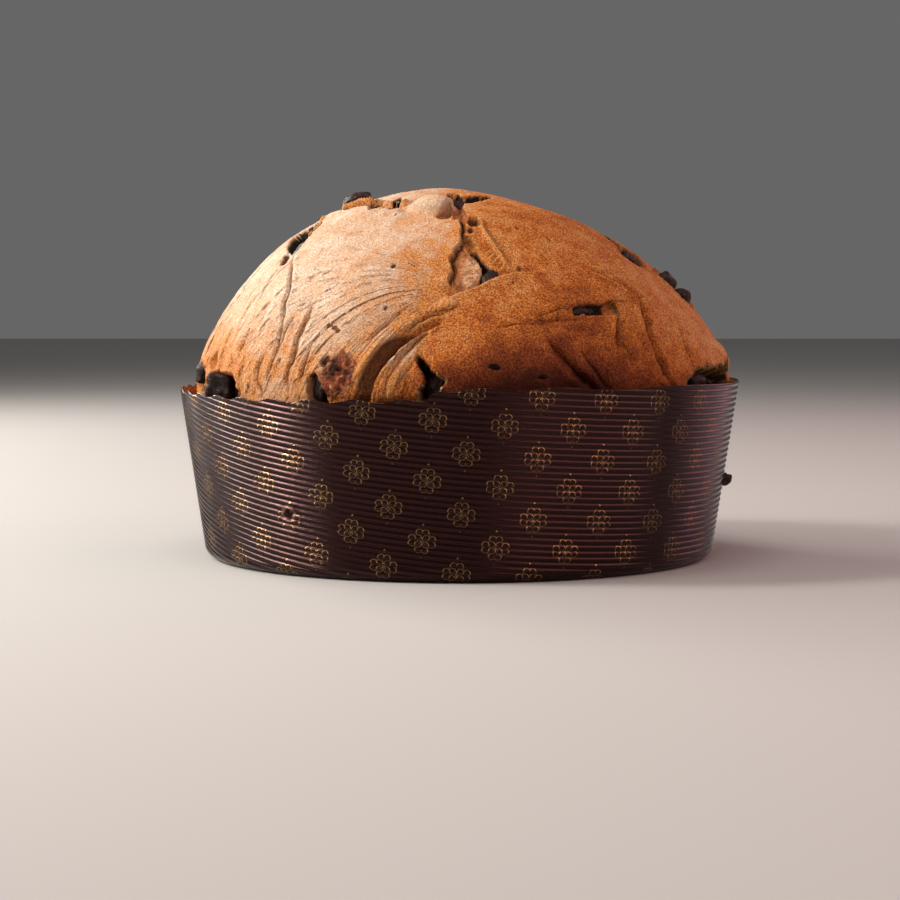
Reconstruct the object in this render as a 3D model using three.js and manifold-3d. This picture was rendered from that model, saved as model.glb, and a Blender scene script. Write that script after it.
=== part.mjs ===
// A low chocolate panettone in the paper case that it was baked in.
// Millimetres, +Z up. The origin is the middle of the case's base, on the surface that it stands on.
// The front, where the crust has torn open under the crown, faces -Y, and +X is to its right.
import * as THREE from "three";
import { mergeVertices } from "three/addons/utils/BufferGeometryUtils.js";
import Module from "manifold-3d";

// The paper case: a tapered cup for a low loaf of 1 kg.
const CASE_BASE_RADIUS = 97;
const CASE_RIM_RADIUS = 106.8;
const CASE_HEIGHT = 65;
const CASE_WALL = 1.2;
const CASE_FOOT_ROUND = 5;
// The rim was cut in two levels: low to the left of a short slanting cut, high to the right of it.
const RIM_DROP_LEFT = 1.6;
const RIM_RISE_RIGHT = 2;
const RIM_CUT_AZIMUTH = -5.5;
const RIM_CUT_WIDTH = 3;
const RIM_WAVE = 0.5;
// Round the back the two levels run into each other between these azimuths.
const RIM_LEVEL_FROM = 110;
const RIM_LEVEL_TO = 175;

// The bread: it hugs the paper, draws in just under the rim and domes above it.
const FIT_GAP = 0.3;
const SHOULDER_HEIGHT = 52;
const NECK_HEIGHT = 60;
const NECK_TUCK = 1.5;
const DOME_RADIUS = 102;
const DOME_HEIGHT = 75;
const DOME_ROUNDNESS = 1.73;
// The crown leans to the left of the case's axis, and the foot of the dome a little to the right.
const FOOT_SHIFT = 1.6;
const CROWN_SHIFT = 10.5;
const CROWN_SHIFT_POWER = 2.5;
const CRUST_UNEVENNESS = 0.7;
const UNEVEN_LENGTH = 16;

// How finely the skins are divided: closer at the front, where the crust is torn.
const CASE_COLUMNS = 96;
const LOAF_COLUMNS = 104;
const FRONT_BIAS = 0.32;
const DOME_ROWS = 24;
const WALL_ROWS = 4;

// Skewer holes: the loaf was hung upside down on two parallel skewers while it cooled.
const SKEWER_HOLE_RADIUS = 2.1;
const SKEWER_HOLE_DEPTH = 9;
const SKEWER_HOLES = [
  { azimuth: -36.7, height: 22.7 },
  { azimuth: 143, height: 25 },
  { azimuth: -93, height: 27 },
];
const PULLED_CRUMB = { azimuth: 86, height: 29, size: [2.6, 3.6, 2.3], seed: 31 };

// Creases in the crust: each runs through the points named by azimuth in degrees and height.
const CREASES = [
  { path: [[-18, 65], [-14.5, 73], [-10, 82], [-5, 91]], width: 4.2, depth: 4.4 },
  { path: [[19, 84], [23, 75], [27, 66]], width: 3.4, depth: 2.8 },
  { path: [[49, 97], [43.5, 77], [45, 66]], width: 3.2, depth: 2.6 },
  { path: [[36, 94], [34, 79]], width: 3, depth: 2 },
  { path: [[-57, 113], [-50, 100], [-45, 84], [-43, 70]], width: 3.4, depth: 2.8 },
  { path: [[-38, 90], [-36, 76], [-35, 66]], width: 3, depth: 2.2 },
  { path: [[-54, 96], [-52, 82], [-50, 68]], width: 3, depth: 2.4 },
  { path: [[-8, 135], [-3, 126], [1, 117], [-3, 106], [-4, 99]], width: 3.4, depth: 3 },
  { path: [[-3, 98], [9, 105], [23, 107.5]], width: 3.2, depth: 2.2 },
  { path: [[22, 94], [36, 96]], width: 3, depth: 1.6 },
  { path: [[-64, 84], [-62, 72]], width: 3.2, depth: 2.4 },
];

// Hollows torn in the crust: half widths across and up the dome, and the depth.
const HOLLOWS = [
  { azimuth: -6, height: 71, across: 7, up: 9, depth: 7 },
  { azimuth: 61, height: 71, across: 9, up: 5.5, depth: 7 },
  { azimuth: -29.5, height: 69, across: 4, up: 7.5, depth: 5 },
  { azimuth: -61, height: 69, across: 7, up: 8, depth: 8 },
  { azimuth: -76, height: 71, across: 5, up: 7, depth: 5 },
  { azimuth: -24, height: 72, across: 7, up: 8, depth: 2.6 },
  { azimuth: 29, height: 94.5, across: 7, up: 3.6, depth: 3.2 },
  { azimuth: -62, height: 118, across: 5, up: 7.5, depth: 4 },
  { azimuth: 3, height: 135.5, across: 10, up: 5, depth: 4 },
  { azimuth: 3, height: 110, across: 7, up: 8.5, depth: 2.8 },
];

// A hollow is flat out to this share of its half width, and its edge ends at this share.
const HOLLOW_FLOOR = 0.55;
const HOLLOW_EDGE = 1.1;

// Swellings of the crust: the pale bubble by the crown and the plate that overlaps the tear.
const SWELLINGS = [
  { azimuth: -16, height: 133, across: 9, up: 8, depth: -2.4 },
  { azimuth: 8, height: 99, across: 16, up: 5, depth: -1.4 },
  { azimuth: -15, height: 66, across: 6, up: 7, depth: -1.6 },
  { azimuth: 74, height: 74, across: 12, up: 6, depth: -2.2 },
];

// Folds and hollows go on round the back, spaced evenly with a seeded scatter.
const BACK_FROM = 96;
const BACK_TO = 272;
const BACK_FOLDS = 13;
const BACK_SEED = 7;
const BACK_FOLD_WIDTH = 3.6;
const BACK_FOLD_DEPTH = [1.8, 3.4];
const BACK_FOLD_TOP = [82, 106];
const BACK_FOLD_LEAN = 10;
const BACK_HOLLOW = { across: 6, up: 5, depth: 2 };

// Chocolate pieces in the crust. sink is how far the middle lies below the skin of the dome,
// square is 2 for a rounded lump and higher for a chunk with flat faces. turn rolls a piece in the
// plane of the skin, and yaw turns it round the way up the dome.
const CHOCOLATES = [
  {
    name: "choc_rim_chunk", azimuth: -63.6, height: 65.2, sink: 2.9,
    size: [4.8, 3.6, 5.4], square: 6, turn: 3, yaw: 56, seed: 1,
  },
  {
    name: "choc_rim_left", azimuth: -77, height: 70.5, sink: 1.2,
    size: [3, 2.6, 4.2], square: 2.4, turn: 8, seed: 2,
  },
  {
    name: "choc_crown_left", azimuth: -81, height: 133.9, sink: -1.3,
    size: [4.5, 2.7, 5.6], square: 2.2, turn: 0, seed: 3,
  },
  {
    name: "choc_right_upper", azimuth: 78, height: 104.8, sink: 0.8,
    size: [4.4, 3.2, 3.7], square: 2.6, turn: -20, seed: 4,
  },
  {
    name: "choc_right_lower", azimuth: 76, height: 98.8, sink: 0.5,
    size: [3.8, 3.2, 3.3], square: 2.4, turn: 20, seed: 5,
  },
  {
    name: "choc_left_tear", azimuth: -62, height: 118, sink: 3.4,
    size: [3.6, 2.8, 6.4], square: 2.6, turn: -28, seed: 6,
  },
  {
    name: "choc_slot", azimuth: 29, height: 94.5, sink: 2.8,
    size: [4.6, 2.4, 2.2], square: 2.8, turn: -4, seed: 7,
  },
  {
    name: "choc_crown_front", azimuth: -6, height: 135.2, sink: 4,
    size: [4.4, 2.8, 3], square: 2.4, turn: 5, seed: 8,
  },
  {
    name: "choc_crown_right", azimuth: 16, height: 134.2, sink: 3.6,
    size: [4.2, 2.8, 2.8], square: 2.4, turn: -8, seed: 9,
  },
  {
    name: "choc_tear_crack", azimuth: 8.5, height: 107.6, sink: 3.2,
    size: [2.6, 2.2, 4.6], square: 2.4, turn: 42, seed: 10,
  },
  {
    name: "choc_edge_upper", azimuth: 75, height: 120.4, sink: 1.7,
    size: [3.8, 2.4, 2.2], square: 2.4, turn: -38, seed: 11,
  },
  {
    name: "choc_edge_lower", azimuth: 69, height: 114, sink: 1.8,
    size: [4.4, 2.4, 2.4], square: 2.4, turn: -42, seed: 12,
  },
  {
    name: "choc_right_rim", azimuth: 62, height: 69, sink: 6,
    size: [6.4, 3.2, 3.8], square: 2.6, turn: 0, seed: 13,
  },
  {
    name: "choc_left_slot", azimuth: -29.5, height: 68, sink: 4.4,
    size: [2.6, 2.6, 5.4], square: 3, turn: 4, seed: 14,
  },
  {
    name: "choc_front_rim", azimuth: -4, height: 68.5, sink: 6.2,
    size: [4.4, 3, 5], square: 2.4, turn: 12, seed: 15,
  },
];
const BACK_CHOCOLATES = 5;

const FINE_DETAIL = 2;
const COARSE_DETAIL = 1;
const COARSE_UNDER = 5.5;
const CHOCOLATE_ROUGHNESS = 0.07;

const DEGREE = Math.PI / 180;
const FULL_TURN = 2 * Math.PI;
const COLOURS = {
  crust: { color: 0xc48a52, roughness: 0.78, metalness: 0 },
  paper: { color: 0x2c1512, roughness: 0.48, metalness: 0 },
  chocolate: { color: 0x24120d, roughness: 0.5, metalness: 0 },
  crumb: { color: 0x4a2a1a, roughness: 0.9, metalness: 0 },
};

// A repeatable draw of numbers from 0 to 1.
function scatter(seed) {
  let state = seed * 2654435761;
  return () => {
    state = (state + 0x6d2b79f5) | 0;
    let mixed = Math.imul(state ^ (state >>> 15), 1 | state);
    mixed = (mixed + Math.imul(mixed ^ (mixed >>> 7), 61 | mixed)) ^ mixed;
    return ((mixed ^ (mixed >>> 14)) >>> 0) / 4294967296;
  };
}

function between(low, high, share) {
  return THREE.MathUtils.lerp(low, high, share);
}

// The direction that faces an azimuth: 0 is the front, and the angle grows to the right.
function facing(azimuth) {
  return new THREE.Vector3(Math.sin(azimuth), -Math.cos(azimuth), 0);
}

function smoothStep(low, high, value) {
  return THREE.MathUtils.smoothstep(value, low, high);
}

// Radius of the case's outer face.
function caseRadius(height) {
  return CASE_BASE_RADIUS + ((CASE_RIM_RADIUS - CASE_BASE_RADIUS) * height) / CASE_HEIGHT;
}

// Height of the cut rim at an azimuth in degrees.
function rimHeight(azimuth) {
  const turned = ((azimuth + 540) % 360) - 180;
  const cut = smoothStep(RIM_CUT_AZIMUTH - RIM_CUT_WIDTH / 2, RIM_CUT_AZIMUTH + RIM_CUT_WIDTH / 2, turned);
  const back = smoothStep(RIM_LEVEL_FROM, RIM_LEVEL_TO, Math.abs(turned));
  const side = THREE.MathUtils.lerp(-RIM_DROP_LEFT, RIM_RISE_RIGHT, cut);
  const wave = RIM_WAVE * Math.sin(3 * turned * DEGREE + 0.6);
  return CASE_HEIGHT + side * (1 - back) + wave;
}

// Radius of the dome's ring at a share of its height, and where that ring's middle lies along X.
function ringRadius(share) {
  return DOME_RADIUS * Math.pow(Math.max(0, 1 - Math.pow(share, DOME_ROUNDNESS)), 1 / DOME_ROUNDNESS);
}

function ringMiddle(share) {
  return FOOT_SHIFT - CROWN_SHIFT * Math.pow(share, CROWN_SHIFT_POWER);
}

// The plain dome, before folds: climb goes from 0 at the rim to 1 at the crown.
function domePoint(azimuth, climb) {
  const share = Math.pow(Math.sin((climb * Math.PI) / 2), 2 / DOME_ROUNDNESS);
  const point = facing(azimuth).multiplyScalar(ringRadius(share));
  point.x += ringMiddle(share);
  point.z = CASE_HEIGHT + DOME_HEIGHT * share;
  return point;
}

// The point of the plain dome that is seen at an azimuth from the case's axis, at a height.
function onDome(azimuthDegrees, height) {
  const share = Math.max(0, height - CASE_HEIGHT) / DOME_HEIGHT;
  const middle = ringMiddle(share);
  const way = facing(azimuthDegrees * DEGREE);
  const side = middle * way.y;
  const reach = middle * way.x + Math.sqrt(Math.max(0, ringRadius(share) ** 2 - side ** 2));
  return way.multiplyScalar(reach).setZ(height);
}

// The way out of the dome at one of its points, with the lateral and the upward direction along it.
function domeFrame(point) {
  const step = 0.5;
  const azimuth = Math.atan2(point.x, -point.y) / DEGREE;
  const low = onDome(azimuth, point.z - step);
  const high = onDome(azimuth, Math.min(point.z + step, CASE_HEIGHT + DOME_HEIGHT - step));
  const up = high.sub(low).normalize();
  const across = facing((azimuth + 90) * DEGREE);
  const out = across.clone().cross(up).normalize();
  return { out, across, up };
}

// How deep a crease is at a point: a V along its path.
function creaseDepth(crease, point) {
  let nearest = Infinity;
  const closest = new THREE.Vector3();
  for (let i = 1; i < crease.points.length; i += 1) {
    const span = new THREE.Line3(crease.points[i - 1], crease.points[i]);
    span.closestPointToPoint(point, true, closest);
    nearest = Math.min(nearest, closest.distanceTo(point));
  }
  const share = Math.max(0, 1 - nearest / crease.width);
  return crease.depth * share * share * (3 - 2 * share);
}

// How deep a hollow is at a point, or how proud a swelling, which has a negative depth.
function hollowDepth(hollow, point) {
  const offset = point.clone().sub(hollow.middle);
  const across = offset.dot(hollow.frame.across) / hollow.across;
  const up = offset.dot(hollow.frame.up) / hollow.up;
  const out = offset.dot(hollow.frame.out) / Math.max(hollow.across, hollow.up);
  const away = Math.sqrt(across * across + up * up + out * out);
  return hollow.depth * (1 - smoothStep(HOLLOW_FLOOR, HOLLOW_EDGE, away));
}

function placedCrease(crease) {
  return { ...crease, points: crease.path.map(([azimuth, height]) => onDome(azimuth, height)) };
}

function placedHollow(hollow) {
  const middle = onDome(hollow.azimuth, hollow.height);
  return { ...hollow, middle, frame: domeFrame(middle) };
}

// Folds that run up from the rim round the back of the loaf.
function backFolds() {
  const draw = scatter(BACK_SEED);
  const spacing = (BACK_TO - BACK_FROM) / BACK_FOLDS;
  return Array.from({ length: BACK_FOLDS }, (_, i) => {
    const azimuth = BACK_FROM + (i + between(0.2, 0.8, draw())) * spacing;
    const top = between(...BACK_FOLD_TOP, draw());
    const lean = BACK_FOLD_LEAN * (draw() - 0.5);
    const half = [azimuth + lean / 3, (CASE_HEIGHT + top) / 2];
    return {
      path: [[azimuth, CASE_HEIGHT], half, [azimuth + lean, top]],
      width: BACK_FOLD_WIDTH,
      depth: between(...BACK_FOLD_DEPTH, draw()),
    };
  });
}

// Chocolate pieces round the back, each half out of a hollow of its own.
function backChocolates() {
  const draw = scatter(BACK_SEED + 1);
  const spacing = (BACK_TO - BACK_FROM) / BACK_CHOCOLATES;
  return Array.from({ length: BACK_CHOCOLATES }, (_, i) => ({
    name: "choc_back_" + (i + 1),
    azimuth: BACK_FROM + (i + between(0.3, 0.7, draw())) * spacing,
    height: i % 2 ? between(72, 78, draw()) : between(92, 118, draw()),
    sink: 1.4,
    size: [between(3.6, 5.2, draw()), 2.8, between(3, 4.2, draw())],
    square: 2.5,
    turn: between(-30, 30, draw()),
    seed: 20 + i,
  }));
}

const pieces = [...CHOCOLATES, ...backChocolates()];
const creases = [...CREASES, ...backFolds()].map(placedCrease);
const hollows = [
  ...HOLLOWS,
  ...SWELLINGS,
  ...backChocolates().map(({ azimuth, height }) => ({ ...BACK_HOLLOW, azimuth, height })),
].map(placedHollow);

// The dome's skin with its slow unevenness, folds, hollows and swellings.
function crustPoint(azimuth, climb) {
  const point = domePoint(azimuth, climb);
  if (climb <= 0 || climb >= 1) return point;
  const { out } = domeFrame(point);
  let depth = 0;
  for (const crease of creases) depth = Math.max(depth, creaseDepth(crease, point));
  for (const hollow of hollows) {
    const own = hollowDepth(hollow, point);
    depth = own > 0 ? Math.max(depth, own) : depth + own;
  }
  const along = point.clone().divideScalar(UNEVEN_LENGTH);
  const uneven = Math.sin(along.x + 0.7 * along.z) + 0.6 * Math.sin(1.7 * along.y - 1.4 * along.x + 1);
  return point.addScaledVector(out, CRUST_UNEVENNESS * uneven - depth);
}

// A closed skin of rows from one pole, up and round, to the other pole.
function closedSkin(rows, columns, place) {
  const positions = [];
  const faces = [];
  const add = (point) => positions.push(point.x, point.y, point.z) / 3 - 1;
  const start = add(place(0, 0));
  const rings = [];
  for (let row = 1; row < rows - 1; row += 1) {
    const ring = [];
    for (let column = 0; column < columns; column += 1) ring.push(add(place(row, column / columns)));
    rings.push(ring);
  }
  const end = add(place(rows - 1, 0));
  for (let column = 0; column < columns; column += 1) {
    const next = (column + 1) % columns;
    faces.push(start, rings[0][next], rings[0][column]);
    for (let row = 1; row < rings.length; row += 1) {
      const [below, above] = [rings[row - 1], rings[row]];
      faces.push(below[column], below[next], above[next]);
      faces.push(below[column], above[next], above[column]);
    }
    const last = rings[rings.length - 1];
    faces.push(last[column], last[next], end);
  }
  const geometry = new THREE.BufferGeometry();
  geometry.setAttribute("position", new THREE.Float32BufferAttribute(positions, 3));
  geometry.setIndex(faces);
  return geometry;
}

// The paper cup: base, rounded foot, tapered wall, cut rim and the inner face.
function caseGeometry() {
  const foot = CASE_FOOT_ROUND;
  const inner = foot - CASE_WALL;
  const footMiddle = caseRadius(foot) - foot;
  const profile = [
    () => [0, 0],
    () => [footMiddle, 0],
    () => [footMiddle + foot * Math.sin(45 * DEGREE), foot - foot * Math.cos(45 * DEGREE)],
    () => [caseRadius(foot), foot],
    () => [caseRadius(CASE_HEIGHT / 2), CASE_HEIGHT / 2],
    (rim) => [caseRadius(rim), rim],
    (rim) => [caseRadius(rim) - CASE_WALL, rim],
    () => [caseRadius(CASE_HEIGHT / 2) - CASE_WALL, CASE_HEIGHT / 2],
    () => [caseRadius(foot) - CASE_WALL, foot],
    () => [footMiddle + inner * Math.sin(45 * DEGREE), foot - inner * Math.cos(45 * DEGREE)],
    () => [footMiddle, CASE_WALL],
    () => [0, CASE_WALL],
  ];
  return closedSkin(profile.length, CASE_COLUMNS, (row, turn) => {
    const [radius, height] = profile[row](rimHeight(360 * turn));
    return facing(FULL_TURN * turn).multiplyScalar(radius).setZ(height);
  });
}

// The loaf: flat bottom, wall against the paper, tucked neck and folded dome.
function loafGeometry() {
  const inset = CASE_WALL + FIT_GAP;
  const foot = CASE_FOOT_ROUND;
  const inner = foot - inset;
  const footMiddle = caseRadius(foot) - foot;
  const below = [
    [0, inset],
    [footMiddle, inset],
    [footMiddle + inner * Math.sin(45 * DEGREE), foot - inner * Math.cos(45 * DEGREE)],
  ];
  for (let i = 0; i <= WALL_ROWS; i += 1) {
    const height = THREE.MathUtils.lerp(foot, SHOULDER_HEIGHT, i / WALL_ROWS);
    below.push([caseRadius(height) - inset, height]);
  }
  below.push([DOME_RADIUS - NECK_TUCK, NECK_HEIGHT]);
  return closedSkin(below.length + DOME_ROWS, LOAF_COLUMNS, (row, turn) => {
    const azimuth = FULL_TURN * turn - FRONT_BIAS * Math.sin(FULL_TURN * turn);
    if (row < below.length) {
      const [radius, height] = below[row];
      return facing(azimuth).multiplyScalar(radius).setZ(height);
    }
    return crustPoint(azimuth, (row - below.length) / (DOME_ROWS - 1));
  });
}

// A lump or chunk: a ball swollen towards a box, with uneven faces.
function lumpGeometry({ size, square, seed }) {
  const detail = Math.max(...size) < COARSE_UNDER ? COARSE_DETAIL : FINE_DETAIL;
  const geometry = new THREE.IcosahedronGeometry(1, detail);
  geometry.deleteAttribute("normal");
  geometry.deleteAttribute("uv");
  const position = geometry.getAttribute("position");
  const point = new THREE.Vector3();
  for (let i = 0; i < position.count; i += 1) {
    point.fromBufferAttribute(position, i);
    const flat = [point.x, point.y, point.z].reduce((sum, value) => sum + Math.abs(value) ** square, 0);
    const sideways = Math.sin(4 * point.x + seed) * Math.sin(5 * point.y + 2 * seed);
    const lumps = sideways + Math.sin(6 * point.z + 3 * seed);
    point.multiplyScalar((1 + CHOCOLATE_ROUGHNESS * lumps) / flat ** (1 / square));
    position.setXYZ(i, point.x * size[0], point.y * size[1], point.z * size[2]);
  }
  return mergeVertices(geometry, 1e-4);
}

// Where a piece sits: its own X along the crust, Y into the bread and Z up the dome.
function seat(piece) {
  const skin = onDome(piece.azimuth, piece.height);
  const { out, across, up } = domeFrame(skin);
  const turned = new THREE.Matrix4().makeBasis(across, out.clone().negate(), up);
  turned.multiply(new THREE.Matrix4().makeRotationZ((piece.yaw ?? 0) * DEGREE));
  turned.multiply(new THREE.Matrix4().makeRotationY(piece.turn * DEGREE));
  return turned.setPosition(skin.addScaledVector(out, -piece.sink));
}

// The bit of crumb that a skewer pulled through the paper.
function crumbSeat() {
  const { azimuth, height } = PULLED_CRUMB;
  const out = facing(azimuth * DEGREE);
  const across = facing((azimuth + 90) * DEGREE);
  const up = new THREE.Vector3(0, 0, 1);
  const middle = out.clone().multiplyScalar(caseRadius(height)).setZ(height);
  return new THREE.Matrix4().makeBasis(across, out.negate(), up).setPosition(middle);
}

// A short round bar along the skewer's way, for cutting the holes.
function skewerBar({ azimuth, height }) {
  const length = 2 * SKEWER_HOLE_DEPTH;
  const geometry = new THREE.CylinderGeometry(SKEWER_HOLE_RADIUS, SKEWER_HOLE_RADIUS, length, 12);
  const out = facing(azimuth * DEGREE);
  geometry.applyQuaternion(new THREE.Quaternion().setFromUnitVectors(new THREE.Vector3(0, 1, 0), out));
  const middle = out.clone().multiplyScalar(caseRadius(height));
  geometry.translate(middle.x, middle.y, height);
  return geometry;
}

const wasm = await Module();
wasm.setup();

// A geometry as a solid for cutting, in the frame of the given matrix.
function solidOf(geometry, matrix = new THREE.Matrix4()) {
  const plain = new THREE.BufferGeometry();
  plain.setAttribute("position", geometry.getAttribute("position").clone());
  if (geometry.index) plain.setIndex(geometry.index.clone());
  const merged = mergeVertices(plain.applyMatrix4(matrix), 1e-4);
  return new wasm.Manifold(
    new wasm.Mesh({
      numProp: 3,
      vertProperties: merged.getAttribute("position").array,
      triVerts: new Uint32Array(merged.index.array),
    }),
  );
}

function geometryOf(solid) {
  const mesh = solid.getMesh();
  const geometry = new THREE.BufferGeometry();
  geometry.setAttribute("position", new THREE.BufferAttribute(mesh.vertProperties, 3));
  geometry.setIndex(new THREE.BufferAttribute(mesh.triVerts, 1));
  return geometry;
}

// A piece's space with the fitting gap all round it.
function roomFor(piece, matrix) {
  const grown = { ...piece, size: piece.size.map((half) => half + FIT_GAP) };
  return solidOf(lumpGeometry(grown), matrix);
}

// The largest closed body of a cut solid: cutting can leave a loose scrap.
function mainBody(solid) {
  return solid.decompose().reduce((best, body) => (body.volume() > best.volume() ? body : best));
}

function named(name, geometry, finish) {
  const mesh = new THREE.Mesh(geometry, new THREE.MeshStandardMaterial(COLOURS[finish]));
  mesh.name = name;
  return mesh;
}

const crumbMatrix = crumbSeat();
const crumbRoom = roomFor({ ...PULLED_CRUMB, square: 2.2 }, crumbMatrix);
let caseSolid = solidOf(caseGeometry()).subtract(crumbRoom);
let loafSolid = solidOf(loafGeometry()).subtract(crumbRoom);
for (const hole of SKEWER_HOLES) {
  const bar = solidOf(skewerBar(hole));
  caseSolid = caseSolid.subtract(bar);
  loafSolid = loafSolid.subtract(bar);
}

const panettone = new THREE.Group();
const chocolates = new THREE.Group();
for (const piece of pieces) {
  const matrix = seat(piece);
  loafSolid = loafSolid.subtract(roomFor(piece, matrix));
  const mesh = named(piece.name, lumpGeometry(piece), "chocolate");
  mesh.applyMatrix4(matrix);
  chocolates.add(mesh);
}

const crumb = named("pulled_crumb", lumpGeometry({ ...PULLED_CRUMB, square: 2.2 }), "crumb");
crumb.applyMatrix4(crumbMatrix);
panettone.add(named("paper_case", geometryOf(mainBody(caseSolid)), "paper"));
panettone.add(named("loaf", geometryOf(mainBody(loafSolid)), "crust"));
panettone.add(chocolates, crumb);

export default panettone;
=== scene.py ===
# %% [markdown]
# A low chocolate panettone, still in the paper case that it was baked in.
#
# The solids that were built for it give the sizes. Here each of them is replaced by a fine mesh with
# a finish: the torn crust, the corrugated paper with its gold print, and the chocolate pieces.
# All sizes are in millimetres until a mesh is made, because a baker's sizes are easiest to read so.

# %% Load the solids
from math import atan2, cos, degrees, hypot, pi, radians, sin

import bpy
import numpy as np
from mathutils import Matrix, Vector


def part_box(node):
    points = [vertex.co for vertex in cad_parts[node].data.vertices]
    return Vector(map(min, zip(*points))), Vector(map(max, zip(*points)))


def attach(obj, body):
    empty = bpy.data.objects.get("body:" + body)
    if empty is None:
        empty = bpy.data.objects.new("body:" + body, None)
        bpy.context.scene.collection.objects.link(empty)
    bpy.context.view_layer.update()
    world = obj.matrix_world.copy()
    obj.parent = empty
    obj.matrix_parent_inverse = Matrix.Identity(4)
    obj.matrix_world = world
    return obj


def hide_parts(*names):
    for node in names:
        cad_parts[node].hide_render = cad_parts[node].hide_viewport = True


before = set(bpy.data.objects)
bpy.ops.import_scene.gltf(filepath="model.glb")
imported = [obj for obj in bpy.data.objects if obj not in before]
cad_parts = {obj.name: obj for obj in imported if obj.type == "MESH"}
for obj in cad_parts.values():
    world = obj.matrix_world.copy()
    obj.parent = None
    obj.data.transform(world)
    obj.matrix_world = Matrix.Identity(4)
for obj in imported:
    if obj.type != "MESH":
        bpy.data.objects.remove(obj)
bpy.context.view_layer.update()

MM = 0.001
print("solids:", sorted(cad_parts))

# %% [markdown]
# ## The view
#
# A long lens a little under a metre away, at the height of the dome, shows the loaf almost straight
# from the front. The lens looks slightly down, and slightly to the left of the loaf.

# %% Camera
PHOTO_WIDTH = 900
FOCAL_PIXELS = 2300
EYE_DISTANCE = 884.9
EYE_HEIGHT = 100.84
LOOK_DOWN = 3.954
LOOK_LEFT = 0.224
SENSOR = 36


def make_camera():
    lens = bpy.data.cameras.new("camera")
    lens.sensor_width = SENSOR
    lens.lens = SENSOR * FOCAL_PIXELS / PHOTO_WIDTH
    camera = bpy.data.objects.new("camera", lens)
    camera.location = (0, -EYE_DISTANCE * MM, EYE_HEIGHT * MM)
    camera.rotation_euler = (radians(90 - LOOK_DOWN), 0, radians(LOOK_LEFT))
    bpy.context.collection.objects.link(camera)
    bpy.context.scene.camera = camera
    return lens.lens


print("lens in mm:", make_camera())

# %% [markdown]
# ## Light
#
# The dome is lit from its left by a small soft panel, a little behind its side, so its relief throws
# clear shadows. A long low panel beside it gives each corrugation of the case one thin bright line.
# A wide panel overhead and two weak rosy ones on the right keep the rest readable: one stands in
# front, and one behind, so that the right edge glows. The last panel, behind on the left, lights the
# left edge of the loaf and of the case. The room is plain grey.

# %% Panels, floor and room
TARGET = (0, 0, 70)
WARM_WHITE = (1, 0.95, 0.88)
ROSE = (1, 0.61, 0.56)
DEEP_ROSE = (1, 0.38, 0.48)
# name, colour, azimuth, height in degrees, distance, size and watts
PANELS = [
    ("key", WARM_WHITE, -80, 38, 1000, (200, 200), 6.3),
    ("strip", WARM_WHITE, -102, 26, 1000, (1900, 100), 12.5),
    ("fill", ROSE, 60, 34, 1200, (1400, 500), 4.3),
    ("edge", DEEP_ROSE, 130, 24, 1200, (700, 700), 1.9),
    ("top", WARM_WHITE, -15, 72, 1200, (700, 700), 4.1),
    ("rim", WARM_WHITE, -138, 24, 1200, (400, 400), 3.5),
]
ROOM_GREY = 0.7
ROOM_STRENGTH = 0.19
FLOOR_SIZE = 8000
FLOOR_COLOUR = (0.5, 0.485, 0.47, 1)
FLOOR_ROUGHNESS = 0.9


def facing(azimuth):
    """The level direction that faces an azimuth in degrees: 0 is the front, and it grows to the right."""
    return np.array([sin(radians(azimuth)), -cos(radians(azimuth)), 0])


def make_panel(name, colour, azimuth, height, distance, size, watts):
    """A soft lamp that stands off from the loaf and faces it."""
    panel = bpy.data.lights.new(name, "AREA")
    panel.color = colour
    panel.shape = "RECTANGLE"
    panel.size = size[0] * MM
    panel.size_y = size[1] * MM
    panel.energy = watts
    lamp = bpy.data.objects.new(name, panel)
    way = facing(azimuth) * cos(radians(height))
    way[2] = sin(radians(height))
    lamp.location = (np.array(TARGET) + way * distance) * MM
    lamp.rotation_euler = (radians(90 - height), 0, radians(azimuth))
    bpy.context.collection.objects.link(lamp)


def make_room():
    world = bpy.data.worlds.new("room")
    world.use_nodes = True
    air = world.node_tree.nodes["Background"]
    air.inputs["Color"].default_value = (ROOM_GREY, ROOM_GREY, ROOM_GREY, 1)
    air.inputs["Strength"].default_value = ROOM_STRENGTH
    bpy.context.scene.world = world
    bpy.context.scene.view_settings.view_transform = "Standard"


def make_floor():
    bpy.ops.mesh.primitive_plane_add(size=FLOOR_SIZE * MM)
    floor = bpy.context.object
    floor.name = "floor"
    paint = bpy.data.materials.new("pale_floor")
    paint.use_nodes = True
    shader = paint.node_tree.nodes["Principled BSDF"]
    shader.inputs["Base Color"].default_value = FLOOR_COLOUR
    shader.inputs["Roughness"].default_value = FLOOR_ROUGHNESS
    floor.data.materials.append(paint)


for panel in PANELS:
    make_panel(*panel)
make_room()
make_floor()
print("panels and watts:", {panel[0]: panel[-1] for panel in PANELS})

# %% [markdown]
# ## Sums with sockets
#
# A finish is a small network of nodes. Wiring it by hand is slow to read, so one class wraps a socket
# and lets Python's own signs add the nodes: `1 - mask * 0.4` becomes two Math nodes. Sums of vectors
# and colours use Vector Math, as a Math node would turn a colour grey.

# %% A wrapped socket
def sign(operation, swap=False):
    """What a sign does between two wires: it adds one node. swap takes the sides the other way round."""
    return lambda self, other=0.0: self.sum(operation, other, swap)


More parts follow.
